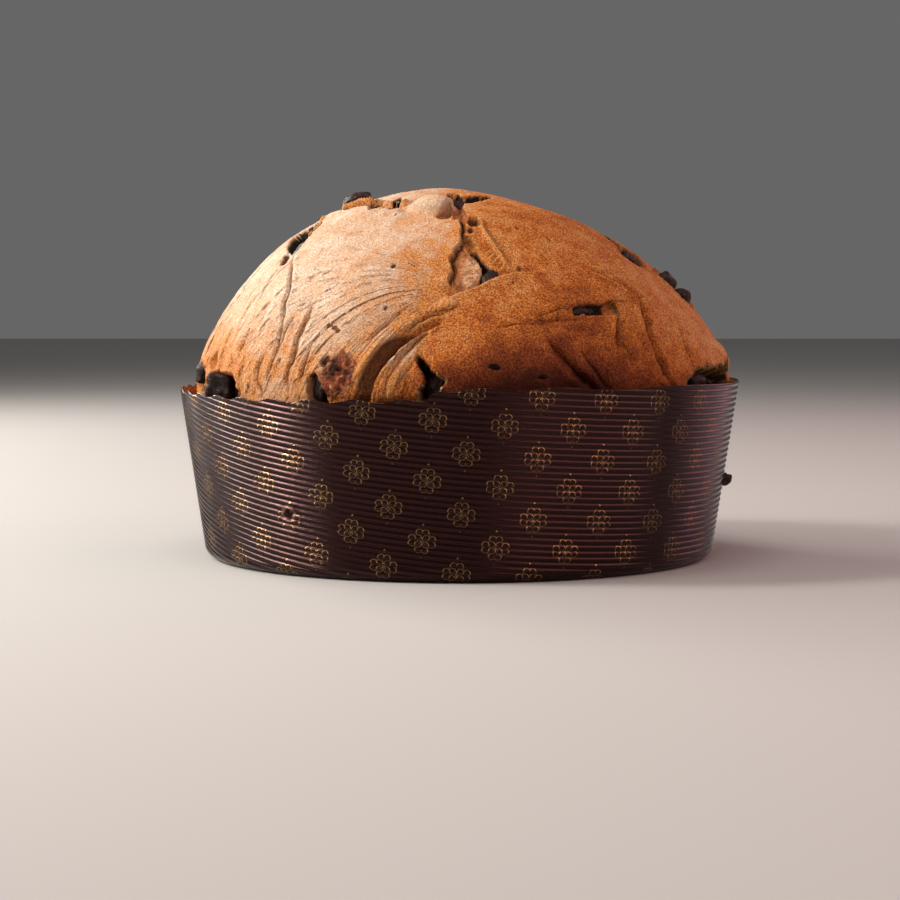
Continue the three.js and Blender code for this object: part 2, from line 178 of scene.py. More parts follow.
class Wire:
    """A socket that can be added to, taken from, multiplied and divided."""

    __add__ = sign("ADD")
    __radd__ = sign("ADD", swap=True)
    __sub__ = sign("SUBTRACT")
    __rsub__ = sign("SUBTRACT", swap=True)
    __mul__ = sign("MULTIPLY")
    __truediv__ = sign("DIVIDE")
    __pow__ = sign("POWER")
    __abs__ = sign("ABSOLUTE")

    def __init__(self, finish, socket):
        self.finish = finish
        self.socket = socket

    def sum(self, operation, other=0.0, swap=False):
        """Adds a Math node, or a Vector Math node where a side is a vector, a colour or a tuple."""
        pair = (other, self) if swap else (self, other)
        wide = [getattr(side, "socket", None) for side in pair]
        vector = any(side is not None and side.type in ("VECTOR", "RGBA") for side in wide)
        vector = vector or any(isinstance(side, tuple) for side in pair)
        kind = "ShaderNodeVectorMath" if vector else "ShaderNodeMath"
        if vector:
            pair = [(side,) * 3 if isinstance(side, (int, float)) else side for side in pair]
        return self.finish.node(kind, {"operation": operation}, {0: pair[0], 1: pair[1]})


# %% A finish under construction
class Finish:
    """A material whose nodes are added one expression at a time."""

    def __init__(self, name):
        self.material = bpy.data.materials.new(name)
        self.material.use_nodes = True
        self.tree = self.material.node_tree
        self.tree.nodes.clear()

    def node(self, kind, settings=None, inputs=None, out=0):
        """Adds a node: its settings first, then the values or wires of its sockets."""
        made = self.tree.nodes.new(kind)
        for key, value in (settings or {}).items():
            if key == "stops":
                for _ in value[2:]:
                    made.color_ramp.elements.new(0.5)
                for stop, (place, colour) in zip(made.color_ramp.elements, value):
                    stop.position = place
                    stop.color = (*colour, 1)
            else:
                setattr(made, key, value)
        for key, value in (inputs or {}).items():
            if isinstance(value, Wire):
                self.tree.links.new(value.socket, made.inputs[key])
            else:
                made.inputs[key].default_value = value
        return Wire(self, made.outputs[out])

    def place(self):
        """The spot on the object in millimetres."""
        return self.node("ShaderNodeTexCoord", out="Object") * (1 / MM)

    def mark(self, name, out="Fac"):
        """What the mesh carries at each point under a name."""
        return self.node("ShaderNodeAttribute", {"attribute_name": name}, out=out)

    def grain(self, place, size, detail=2.0, rough=0.5):
        """Cloudy noise from 0 to 1, with clouds of about the given size."""
        inputs = {"Vector": place, "Scale": 1 / size, "Detail": detail, "Roughness": rough}
        return self.node("ShaderNodeTexNoise", None, inputs)

    def cells(self, place, size):
        """The distance from the middle of the nearest random cell, for pores and crumbs."""
        return self.node("ShaderNodeTexVoronoi", None, {"Vector": place, "Scale": 1 / size}, "Distance")

    def ease(self, value, low, high, start=0.0, end=1.0):
        """Eases from start to end while the value goes from low to high."""
        settings = {"interpolation_type": "SMOOTHSTEP", "clamp": True}
        inputs = {"Value": value, "From Min": low, "From Max": high, "To Min": start, "To Max": end}
        return self.node("ShaderNodeMapRange", settings, inputs)

    def mix(self, share, first, second):
        """A colour between two colours."""
        inputs = {0: share}
        for socket, colour in ((6, first), (7, second)):
            inputs[socket] = (*colour, 1) if isinstance(colour, tuple) else colour
        return self.node("ShaderNodeMix", {"data_type": "RGBA", "clamp_factor": True}, inputs, out=2)

    def ramp(self, value, stops):
        """A colour for each value, from a list of places and colours."""
        return self.node("ShaderNodeValToRGB", {"stops": stops}, {"Fac": value}, out="Color")

    def bump(self, height, depth):
        """A normal that tilts as a relief of the given depth in millimetres would."""
        return self.node("ShaderNodeBump", None, {"Height": height, "Distance": depth * MM}, "Normal")

    def finish(self, **inputs):
        """The surface itself. Words with an underscore name sockets with a space."""
        named = {key.replace("_", " "): value for key, value in inputs.items()}
        surface = self.node("ShaderNodeBsdfPrincipled", None, named, out="BSDF")
        end = self.tree.nodes.new("ShaderNodeOutputMaterial")
        self.tree.links.new(surface.socket, end.inputs["Surface"])
        return self.material


# %% [markdown]
# ## Repeatable roughness
#
# Bread is uneven at every size. `hills` gives smooth random heights: each whole-numbered cell of a
# lattice gets a fixed random value, and the values are blended across the cell. Stretching or
# bending the points before the call turns hills into wrinkles.

# %% Random hills
AXIS_FACTORS = (73856093, 19349663, 83492791)
SEED_FACTOR = 7919
STIRS = ((15, 1274126177), (13, 951274213))
LAST_SHIFT = 16
MASK = 0xFFFFFFFF


def lattice_value(cell, seed):
    """A fixed random number from -1 to 1 for each cell: large factors and shifts stir its numbers."""
    x, y, z = (cell[..., axis] * AXIS_FACTORS[axis] for axis in range(3))
    mixed = ((x ^ y ^ z) + seed * SEED_FACTOR) & MASK
    for shift, factor in STIRS:
        mixed = ((mixed ^ (mixed >> shift)) * factor) & MASK
    return (mixed ^ (mixed >> LAST_SHIFT)) / (MASK / 2) - 1


def hills(points, size, seed=0):
    """Smooth random heights from -1 to 1. size is the width of a hill."""
    spot = points / size
    cell = np.floor(spot).astype(np.int64)
    part = spot - cell
    part = part * part * (3 - 2 * part)
    total = 0
    for corner in np.ndindex(2, 2, 2):
        share = np.prod(np.where(corner, part, 1 - part), axis=-1)
        total = total + share * lattice_value(cell + np.array(corner), seed)
    return total


def rough(points, size, seed=0, octaves=3):
    """Hills with smaller hills on them."""
    return sum(hills(points, size / 2**i, seed + i) / 2**i for i in range(octaves))


def ease(value, low, high):
    """0 below low, 1 above high, and a smooth slope between them."""
    share = np.clip((value - low) / (high - low), 0, 1)
    return share * share * (3 - 2 * share)


def bell(value, width):
    """1 where the value is 0, and less on both sides, with about the given half width."""
    return np.exp(-((value / width) ** 2))


# %% [markdown]
# ## The plain dome
#
# The bread hugs the paper up to its shoulder, draws in a little under the rim, and rises above it as
# a round dome that leans to the left. The sizes are those of the solid, so the fine mesh fits it.
# A grid of rows and columns makes the skin: rows are spaced evenly along the slope. The front, where
# the crust is torn and pleated, has close columns, and the back has wider ones.

# %% Sizes of the loaf and its case
CASE_BASE_RADIUS = 97
CASE_RIM_RADIUS = 106.8
CASE_HEIGHT = 65
CASE_FOOT_ROUND = 5
LOAF_INSET = 1.5
SHOULDER_HEIGHT = 52
NECK_HEIGHT = 60
NECK_RADIUS = 100.5
DOME_RADIUS = 102
DOME_HEIGHT = 75
DOME_ROUNDNESS = 1.73
FOOT_SHIFT = 1.6
CROWN_SHIFT = 10.5
CROWN_SHIFT_POWER = 2.5
FRONT_HALF_ANGLE = 80
FRONT_COLUMNS = 400
BACK_COLUMNS = 170
LOAF_COLUMNS = FRONT_COLUMNS + BACK_COLUMNS
DOME_ROWS = 188
NECK_ROWS = 6


def case_radius(height):
    """Radius of the tapered case at a height."""
    return CASE_BASE_RADIUS + (CASE_RIM_RADIUS - CASE_BASE_RADIUS) * height / CASE_HEIGHT


def ring(share):
    """Radius of the dome at a share of its height, and how far that ring is shifted along X."""
    radius = DOME_RADIUS * np.maximum(0, 1 - share**DOME_ROUNDNESS) ** (1 / DOME_ROUNDNESS)
    return radius, FOOT_SHIFT - CROWN_SHIFT * share**CROWN_SHIFT_POWER


SLOPE_STEPS = 4000


def even_shares(count):
    """Shares of the dome's height whose rings lie evenly spaced along the slope."""
    turn = np.linspace(0, pi / 2, SLOPE_STEPS)
    share = np.sin(turn) ** (2 / DOME_ROUNDNESS)
    reach = np.cos(turn) ** (2 / DOME_ROUNDNESS)
    steps = np.hypot(np.diff(DOME_RADIUS * reach), np.diff(DOME_HEIGHT * share))
    along = np.append(0, np.cumsum(steps))
    return np.interp(np.linspace(0, along[-1], count), along, share)


def circle(azimuths, radius, height, shift=0.0):
    """A level ring of points."""
    points = np.stack([np.sin(azimuths), -np.cos(azimuths), np.zeros_like(azimuths)], axis=-1) * radius
    return points + np.array([shift, 0, height])


def plain_loaf():
    """Rings of points from the middle of the base up to the crown, and the row where the neck starts."""
    front, back = FRONT_HALF_ANGLE, 360 - FRONT_HALF_ANGLE
    turns = [np.linspace(-front, front, FRONT_COLUMNS, endpoint=False)]
    turns.append(np.linspace(front, back, BACK_COLUMNS, endpoint=False))
    azimuths = np.radians(np.concatenate(turns))
    foot_middle = case_radius(CASE_FOOT_ROUND) - CASE_FOOT_ROUND
    foot = CASE_FOOT_ROUND - LOAF_INSET
    rings = [circle(azimuths, foot_middle * share, LOAF_INSET) for share in (0.5, 1)]
    rings.append(circle(azimuths, foot_middle + foot * sin(pi / 4), CASE_FOOT_ROUND - foot * cos(pi / 4)))
    for height in np.linspace(CASE_FOOT_ROUND, SHOULDER_HEIGHT, 3):
        rings.append(circle(azimuths, case_radius(height) - LOAF_INSET, height))
    start = len(rings)
    neck = circle(azimuths, NECK_RADIUS, NECK_HEIGHT)
    dome_foot = circle(azimuths, DOME_RADIUS, CASE_HEIGHT, FOOT_SHIFT)
    for share in np.arange(NECK_ROWS) / NECK_ROWS:
        rings.append(neck + (dome_foot - neck) * share)
    for share in even_shares(DOME_ROWS)[:-1]:
        radius, shift = ring(share)
        rings.append(circle(azimuths, radius, CASE_HEIGHT + DOME_HEIGHT * share, shift))
    return np.array(rings), start


LOAF_RINGS, NECK_START = plain_loaf()
print("loaf grid:", LOAF_RINGS.shape[:2])

# %% [markdown]
# ## Finding a place on the dome
#
# Every tear and fold is named by its azimuth round the loaf and its height above the table. `on_dome`
# turns such a pair into a point, and `local_frame` gives the ways out of, across and up the dome.

# %% Points and frames
PROBE = 0.5


def unit(vector):
    return vector / np.linalg.norm(vector)


def on_dome(azimuth, height):
    """The point of the plain dome at an azimuth in degrees and a height."""
    share = min(1.0, max(0.0, (height - CASE_HEIGHT) / DOME_HEIGHT))
    radius, middle = ring(share)
    way = facing(azimuth)
    reach = middle * way[0] + np.sqrt(max(0.0, radius**2 - (middle * way[1]) ** 2))
    return way * reach + np.array([0, 0, height])


def local_frame(point):
    """The ways out of, across and up the dome at a point."""
    azimuth = degrees(atan2(point[0], -point[1]))
    height = min(point[2], CASE_HEIGHT + DOME_HEIGHT - 2 * PROBE)
    up = unit(on_dome(azimuth, height + PROBE) - on_dome(azimuth, height - PROBE))
    across = facing(azimuth + 90)
    return unit(np.cross(across, up)), across, up


def skin_directions(rings):
    """The way out of the skin at each point of the grid."""
    along = np.roll(rings, -1, axis=1) - np.roll(rings, 1, axis=1)
    climb = np.gradient(rings, axis=0)
    out = np.cross(along, climb)
    return out / np.linalg.norm(out, axis=-1, keepdims=True)


SKIN = LOAF_RINGS[NECK_START:].reshape(-1, 3)
SKIN_OUT = skin_directions(LOAF_RINGS)[NECK_START:].reshape(-1, 3)
SKIN_AZIMUTH = np.degrees(np.arctan2(SKIN[:, 0], -SKIN[:, 1]))
SKIN_HEIGHT = SKIN[:, 2]
print("points in the shaped skin:", len(SKIN))

# %% [markdown]
# ## Lines and outlines
#
# A fold follows a line, and a tear has an outline. Both are given by a few points and rounded off by
# a spline. `line_offset` measures how far each point of the skin lies from a line, and on which
# side. `outline_offset` does so for a closed outline, and is negative inside it.

# %% Measuring from a line
def rounded(corners, closed=False, steps=5):
    """A smooth line through the corners."""
    corners = np.asarray(corners, float)
    count = len(corners)
    line = []
    for i in range(count if closed else count - 1):
        if closed:
            a, b, c, d = (corners[(i + k) % count] for k in (-1, 0, 1, 2))
        else:
            a, b, c, d = (corners[min(max(i + k, 0), count - 1)] for k in (-1, 0, 1, 2))
        for step in range(steps):
            t = step / steps
            bend = (2 * a - 5 * b + 4 * c - d) * t**2 + (3 * b - a - 3 * c + d) * t**3
            line.append(b + 0.5 * ((c - a) * t + bend))
    line.append(corners[0] if closed else corners[-1])
    return np.array(line)


def line_offset(path, reach):
    """For the skin near a path: which points, distance, side (+1 right of it), and share along it."""
    line = rounded([on_dome(*corner) for corner in path])
    low, high = line.min(0) - reach, line.max(0) + reach
    near = np.flatnonzero(np.all((SKIN > low) & (SKIN < high), axis=1))
    points, out = SKIN[near], SKIN_OUT[near]
    best = np.full(len(near), np.inf)
    side = np.zeros(len(near))
    along = np.zeros(len(near))
    lengths = np.linalg.norm(np.diff(line, axis=0), axis=1)
    starts = np.append(0, np.cumsum(lengths))
    for start, end, length, begun in zip(line[:-1], line[1:], lengths, starts):
        span = (end - start) / length
        part = np.clip((points - start) @ span, 0, length)
        gap = points - start - part[:, None] * span
        far = np.linalg.norm(gap, axis=1)
        closer = far < best
        turned = np.einsum("ij,ij->i", np.cross(gap, span), out)
        best = np.where(closer, far, best)
        side = np.where(closer, np.sign(turned), side)
        along = np.where(closer, (begun + part) / starts[-1], along)
    return near, best, side, along


# %% Measuring from an outline
OUTLINE_REACH = 6
OUTLINE_STEPS = 4


def outline_offset(outline):
    """For the skin near an outline: which points, the offset (negative inside), and flat coordinates."""
    corners = np.array([on_dome(*corner) for corner in outline])
    middle = corners.mean(0)
    out, across, up = local_frame(middle)
    line = rounded(corners, closed=True, steps=OUTLINE_STEPS) - middle
    flat = np.stack([line @ across, line @ up], axis=-1)
    radius = np.linalg.norm(flat, axis=1).max() + OUTLINE_REACH
    away = SKIN - middle
    near = np.flatnonzero((np.linalg.norm(away, axis=1) < radius) & (SKIN_OUT @ out > 0.1))
    spot = np.stack([away[near] @ across, away[near] @ up], axis=-1)
    best = np.full(len(near), np.inf)
    inside = np.zeros(len(near), bool)
    for start, end in zip(flat[:-1], flat[1:]):
        span = end - start
        part = np.clip((spot - start) @ span / (span @ span + 1e-9), 0, 1)
        best = np.minimum(best, np.linalg.norm(spot - start - part[:, None] * span, axis=1))
        crosses = (start[1] > spot[:, 1]) != (end[1] > spot[:, 1])
        rise = span[1] if abs(span[1]) > 1e-9 else 1e-9
        inside ^= crosses & (spot[:, 0] < start[0] + (spot[:, 1] - start[1]) * span[0] / rise)
    return near, np.where(inside, -best, best), spot


# %% [markdown]
# ## A board for the crust
#
# Each fold and tear adds to a few running values at every point of the skin: how far it is lifted,
# how deep it is dug, and which colour shows there. They are applied to the mesh at the end, so the
# order of the steps hardly matters.

# %% Running values
LIFT, DIG, TINT_SHARE, CREASE_SHADE, TORN, GROOVE_FORCE = np.zeros((6, len(SKIN)))
TINT = np.zeros((len(SKIN), 3))
NO_GROOVE = 9.0
GROOVE = np.full(len(SKIN), NO_GROOVE)
GROOVE_REACH = 2.6

PALE_CRUMB = (0.6, 0.26, 0.1)
CREAM_CRUMB = (0.7, 0.36, 0.17)
BROWN_CRUMB = (0.2, 0.075, 0.03)
RED_CRUMB = (0.24, 0.062, 0.028)
ORANGE_SKIN = (0.47, 0.17, 0.04)
OLIVE_CRUMB = (0.2, 0.1, 0.03)
# Near black: dark crumb and chocolate, and painted shade deep in hollows.
BLACK_CRUMB_AND_SHADE = (0.012, 0.006, 0.005)
RUST_CRUMB = (0.4, 0.13, 0.05)
WARM_CRUMB = (0.3, 0.12, 0.04)
SHADED_LENS_BROWN = (0.42, 0.15, 0.05)
LIT_LENS_CREAM = (0.88, 0.52, 0.29)
RIND = (0.8, 0.46, 0.22)
PAINTED_PLATE_SHADOW = (0.1, 0.035, 0.015)
PAINTED_LIP_SHADOW = (0.12, 0.04, 0.016)
PAINTED_GROOVE_SHADE = (0.15, 0.05, 0.018)
RIDGE_GOLD = (0.78, 0.36, 0.12)
BUBBLE_PALE = (0.9, 0.62, 0.42)
PAINTED_BUBBLE_SHADE = (0.36, 0.14, 0.045)
STRIP_GOLD = (0.6, 0.24, 0.07)
STRIP_TAN = (0.6, 0.27, 0.09)
LIT_GAP_EDGE = (0.42, 0.12, 0.05)
DENT_ORANGE = (0.5, 0.17, 0.035)
FLAP_TAN = (0.66, 0.33, 0.15)
STAIN_RED = (0.4, 0.12, 0.035)
STAIN_BLACK = (0.035, 0.01, 0.008)
STAIN_BITS = (0.5, 0.19, 0.08)
SLOT_EDGE = (0.55, 0.3, 0.2)
TEETH_TAN = (0.42, 0.25, 0.08)
SLIT_CRUMB = (0.09, 0.026, 0.014)
SLIT_EDGE = (0.52, 0.2, 0.07)
NEST_EDGE = (0.6, 0.25, 0.08)


def colour_spots(near, share, colour):
    """Paints a colour over part of the skin."""
    share = np.clip(share, 0, 1)
    TINT[near] = TINT[near] * (1 - share[:, None]) + np.array(colour) * share[:, None]
    TINT_SHARE[near] = np.maximum(TINT_SHARE[near], share)


def draw_groove(near, offset, force):
    """Stores the offset from a thin dark line of painted shade, so that the finish can draw the line
    sharply.
    """
    force = np.clip(force, 0, 1) * (1 - ease(np.abs(offset), GROOVE_REACH * 0.6, GROOVE_REACH))
    closer = (np.abs(offset) < np.abs(GROOVE[near])) & (force > 0.02)
    GROOVE[near] = np.where(closer, offset, GROOVE[near])
    GROOVE_FORCE[near] = np.where(closer, force, GROOVE_FORCE[near])


# %% Folds, edges and tears
FOLD_CORE = 0.55


def fold(path, width, depth, lip=0.25, lean=0.0, ragged=0.25, seed=0):
    """A groove along a path. lean makes its right side (above 0) or left side the gentler one."""
    near, far, side, along = line_offset(path, 3 * width)
    offset = far * side + ragged * width * hills(SKIN[near], 2.4, seed)
    far = np.abs(offset)
    taper = np.clip(4 * along * (1 - along), 0, 1) ** 0.35
    wide = width * (1 + lean * side) * (0.5 + 0.5 * taper)
    varied = taper * (0.75 + 0.35 * hills(SKIN[near], 7, seed + 1))
    share = np.clip(1 - far / wide, 0, 1)
    core = bell(far, FOLD_CORE)
    DIG[near] = np.maximum(DIG[near], depth * varied * (0.7 * share**1.6 + 0.45 * core))
    LIFT[near] += lip * depth * varied * bell(far - 1.2 * wide, 0.5 * wide)
    # Painted shade: the crust's colour is darkened towards the bottom of the fold.
    CREASE_SHADE[near] = np.maximum(CREASE_SHADE[near], varied * share * min(0.75, depth / 4))
    draw_groove(near, offset, varied * min(1.0, 0.35 + depth / 2.2))


def edge(path, rise, spread, drop, gap=2.0, ragged=0.4, seed=0, fade=(0.06, 0.06)):
    """The edge of a plate of crust: raised on the left of the path, sunk on its right."""
    near, far, side, along = line_offset(path, spread * 2.5)
    offset = far * side + ragged * rough(SKIN[near], 2.2, seed)
    ends = ease(along, 0, fade[0]) * ease(1 - along, 0, fade[1])
    raised = ends * np.exp(-np.maximum(-offset, 0) / spread) * ease(-offset, -0.35, 0.35)
    sunk = ends * np.exp(-np.maximum(offset, 0) / gap) * ease(offset, -0.35, 0.35)
    LIFT[near] += rise * raised
    DIG[near] = np.maximum(DIG[near], drop * sunk)
    # Painted shade in the sunk gap beside the edge.
    CREASE_SHADE[near] = np.maximum(CREASE_SHADE[near], 0.7 * sunk**2)
    draw_groove(near, offset - 0.35, ends * min(1.0, drop / 1.6))
    return near, offset, ends


def tear(outline, depth, wall=0.9, ragged=0.5, floor=0.3, colour=BROWN_CRUMB, tilt=(0, 0), seed=0, size=2.0):
    """A torn hollow: ragged outline, steep wall and a rough floor that may be tilted."""
    near, offset, spot = outline_offset(outline)
    ragged_offset = offset + ragged * rough(SKIN[near], size, seed)
    inside = ease(-ragged_offset, -0.15, wall)
    lumps = floor * rough(SKIN[near], 1.8, seed + 5)
    deep = np.maximum(0, depth + tilt[0] * spot[:, 0] + tilt[1] * spot[:, 1] + lumps)
    DIG[near] = np.maximum(DIG[near], deep * inside)
    TORN[near] = np.maximum(TORN[near], inside)
    colour_spots(near, ease(-ragged_offset, -0.45, 0.55), colour)
    return near, ragged_offset, spot


def diamond(azimuth, height, aside, upright):
    """The outline of a small hole round a place: how far it reaches to the left, right, up and down."""
    return [(azimuth - aside[0], height), (azimuth, height + upright[0]),
            (azimuth + aside[1], height), (azimuth, height - upright[1])]


def swell(azimuth, height, across_half, up_half, rise, power=1.0):
    """A round swelling."""
    middle = on_dome(azimuth, height)
    out, across, up = local_frame(middle)
    away = SKIN - middle
    reach = (away @ across / across_half) ** 2 + (away @ up / up_half) ** 2
    reach = reach + (away @ out / max(across_half, up_half)) ** 2
    share = np.clip(1 - reach, 0, 1) ** power
    LIFT[:] += rise * share
    return share


# %% [markdown]
# ## The tear under the crown
#
# While it rose, the crust split below the crown. A plate on the left ends in a ragged edge, a lens of
# pale crumb shows beside it, a wedge of dark chocolate lies at its right, and a lower plate overlaps
# them with a long thin lip. A straight ridge and a ribbed, stretched skin lie to the right.

# %% Crown and main tear
def tear_the_crown():
    cavity = [(-12, 136.6), (-10, 138), (0, 137.8), (3, 136.6), (15, 137), (32, 137), (39, 136.2),
              (24, 135), (10, 133.6), (-3, 134)]
    # The cavity is painted near black: chocolate, and painted shade deep inside it.
    near, offset, _ = tear(cavity, 5.5, wall=1.4, ragged=0.9, floor=0.8, colour=BLACK_CRUMB_AND_SHADE, seed=11)
    colour_spots(near, ease(-offset, 3.0, 4.5) * 0.6, RED_CRUMB)
    inner = [(-5, 133.8), (2, 134), (3, 131), (4, 127), (0, 126.4), (-3, 127.4)]
    tear(inner, 2.6, ragged=0.5, floor=0.5, colour=RUST_CRUMB, tilt=(0.12, 0), seed=13)
    tear([(3, 126.2), (5, 127.4), (8.4, 127.2), (8.6, 125), (7, 124), (4.4, 124.4)], 4.5, seed=15)
    tear([(3, 123), (5, 123.6), (5.6, 122), (3.6, 121.6)], 2.5, seed=16)
    upper_floor = [(0.6, 121), (4.6, 120.6), (6.6, 118), (5.8, 115.8), (3, 115), (1.2, 117.8)]
    tear(upper_floor, 2.2, wall=1.8, ragged=0.3, floor=0.2, colour=ORANGE_SKIN, tilt=(-0.35, 0.1), seed=17)


def split_the_front():
    wedge = [(2.6, 115.4), (5.4, 115.8), (6.2, 113.4), (7.6, 111.4), (9.5, 107.2), (9, 105.6), (4.4, 103.2),
             (6, 108), (5.2, 112.4)]
    # The wedge is painted near black: chocolate, and painted shade deep in the crack.
    tear(wedge, 4.6, wall=0.7, ragged=0.35, floor=0.7, colour=BLACK_CRUMB_AND_SHADE, seed=21)
    lens = [(0.6, 117.6), (2.2, 114.6), (4.2, 114), (6.3, 109.8), (5.6, 107), (4.4, 103.8), (2.4, 102.2),
            (0.2, 101.6), (-1.4, 104.6), (-1.8, 109), (-1.4, 113), (-1, 115.2)]
    near, offset, spot = outline_offset(lens)
    ragged = offset + 0.35 * rough(SKIN[near], 1.6, 23)
    inside = ease(-ragged, -0.15, 0.35)
    domed = 1 - np.exp(-np.maximum(-ragged, 0) / 1.5)
    DIG[near] = DIG[near] * (1 - inside)
    LIFT[near] += inside * (0.95 * domed - 0.75 + 0.16 * rough(SKIN[near], 1.9, 24))
    TORN[near] = np.maximum(TORN[near], 0.9 * inside)
    # The lens is brown crumb, with painted shade at its left and top where the plate shades it, and painted
    # light in cream where it faces the lamps.
    colour_spots(near, inside, SHADED_LENS_BROWN)
    lit = ease(spot[:, 0], -2.2, 0.6) * ease(-spot[:, 1], -6.5, -2.5)
    colour_spots(near, inside * lit * (0.65 + 0.7 * hills(SKIN[near], 1.9, 26)), LIT_LENS_CREAM)
    rind = bell(ragged + 0.3, 0.4) * ease(spot[:, 0], 0.5, 2)
    colour_spots(near, rind * 0.8, RIND)
    plate = [(0.6, 130), (0.2, 126.6), (0.9, 124), (0.5, 120.6), (0.9, 118.4), (-0.9, 116), (-1.8, 113.4),
             (-2.1, 111.4), (-1.7, 109.4), (-2.1, 106.9), (-2.5, 104.6), (-1.6, 101.6)]
    near, offset, ends = edge(plate[::-1], 1.1, 5.0, 2.2, gap=1.1, ragged=0.5, seed=25, fade=(0.1, 0.12))
    # Painted light and shade at the plate's edge: a cream line, torn crumb painted bright as the highlight on
    # the edge, and a painted shadow in the sunk gap beside it.
    colour_spots(near, ends * bell(offset + 0.35, 0.45) * 0.8, CREAM_CRUMB)
    colour_spots(near, ends * bell(offset - 0.7, 0.5) * 0.9, PAINTED_PLATE_SHADOW)
    lower = [(23.5, 107.6), (16, 107.4), (12, 106.9), (9.4, 106), (7, 104.8), (4.4, 103), (2.5, 102),
             (0.2, 101.2), (-2.6, 99)]
    near, offset, ends = edge(lower, 1.25, 6.5, 1.7, gap=1.8, ragged=0.3, seed=27, fade=(0.14, 0.08))
    # Painted light and shade at the lower lip: a pale crumb line, painted bright as the highlight on its lit
    # top, and a painted shadow in the sunk gap beside it.
    colour_spots(near, ends * bell(offset + 0.4, 0.55) * 0.6, PALE_CRUMB)
    colour_spots(near, ends * bell(offset - 0.8, 0.5) * 0.7, PAINTED_LIP_SHADOW)
    small = [(-4.6, 95.6), (-4, 98.6), (-2.6, 99.9), (-0.8, 98.4), (-0.2, 96.6), (-2, 95.2)]
    near, offset, _ = outline_offset(small)
    LIFT[near] += 0.8 * ease(-offset - 0.3 * rough(SKIN[near], 1.6, 29), -0.1, 0.9)
    fold([(-0.2, 96.4), (-2, 95), (-5, 94.4), (-9, 92.6)], 0.8, 1.1, seed=30)


def ridge_and_ribs():
    ridge = [(9.4, 127), (8.9, 122.8), (10.8, 118), (12.3, 114), (13.4, 110.4), (14.2, 107.6)]
    near, far, side, along = line_offset(ridge, 9)
    taper = np.clip(5 * along * (1 - along), 0, 1)
    LIFT[near] += taper * bell(far, 0.7)
    fall = np.exp(-far / 3.2) * (side < 0) * ease(far, 0.3, 1.2)
    DIG[near] = np.maximum(DIG[near], 1.5 * taper * fall)
    colour_spots(near, taper * bell(far, 0.6) * 0.8, RIDGE_GOLD)
    ribbed = [(6.8, 116.6), (9.8, 117), (13.4, 109.4), (10.6, 106.8)]
    near, offset, spot = outline_offset(ribbed)
    inside = ease(-offset, -0.5, 1.5)
    ribs = np.sin((spot[:, 0] * 0.75 - spot[:, 1] * 0.65) * 2 * pi / 2.1 + 1.5 * hills(SKIN[near], 4, 31))
    LIFT[near] += 0.28 * inside * ribs


tear_the_crown()
split_the_front()
ridge_and_ribs()
print("torn share of the skin:", round(float(TORN.mean()), 3))

# %% [markdown]
# ## Bubble and crown-left tear
#
# To the left of the split stands a pale bubble with one sharp side. Further left, the crown's
# plate has come away from the front: a band of torn crumb with a chip of chocolate lies behind it.

# %% Bubble and torn band
def raise_bubble():
    share = swell(-15.5, 133.2, 10, 10.5, 3.6, power=1.15)
    colour_spots(np.arange(len(SKIN)), ease(share, 0.0, 0.7) * 0.75, BUBBLE_PALE)
    flank = [(-6.2, 133.6), (-8.6, 131), (-11.5, 128.6), (-9, 127), (-3.4, 127.4), (-3.2, 131.4)]
    near, offset, spot = outline_offset(flank)
    inside = ease(-offset, -0.4, 1.6)
    DIG[near] = np.maximum(DIG[near], inside * np.clip(2.0 + 0.4 * spot[:, 0] + 0.15 * spot[:, 1], 0, 4.4))
    # Painted shade on the dug flank, which faces away from the lamps.
    colour_spots(near, inside * 0.75, PAINTED_BUBBLE_SHADE)


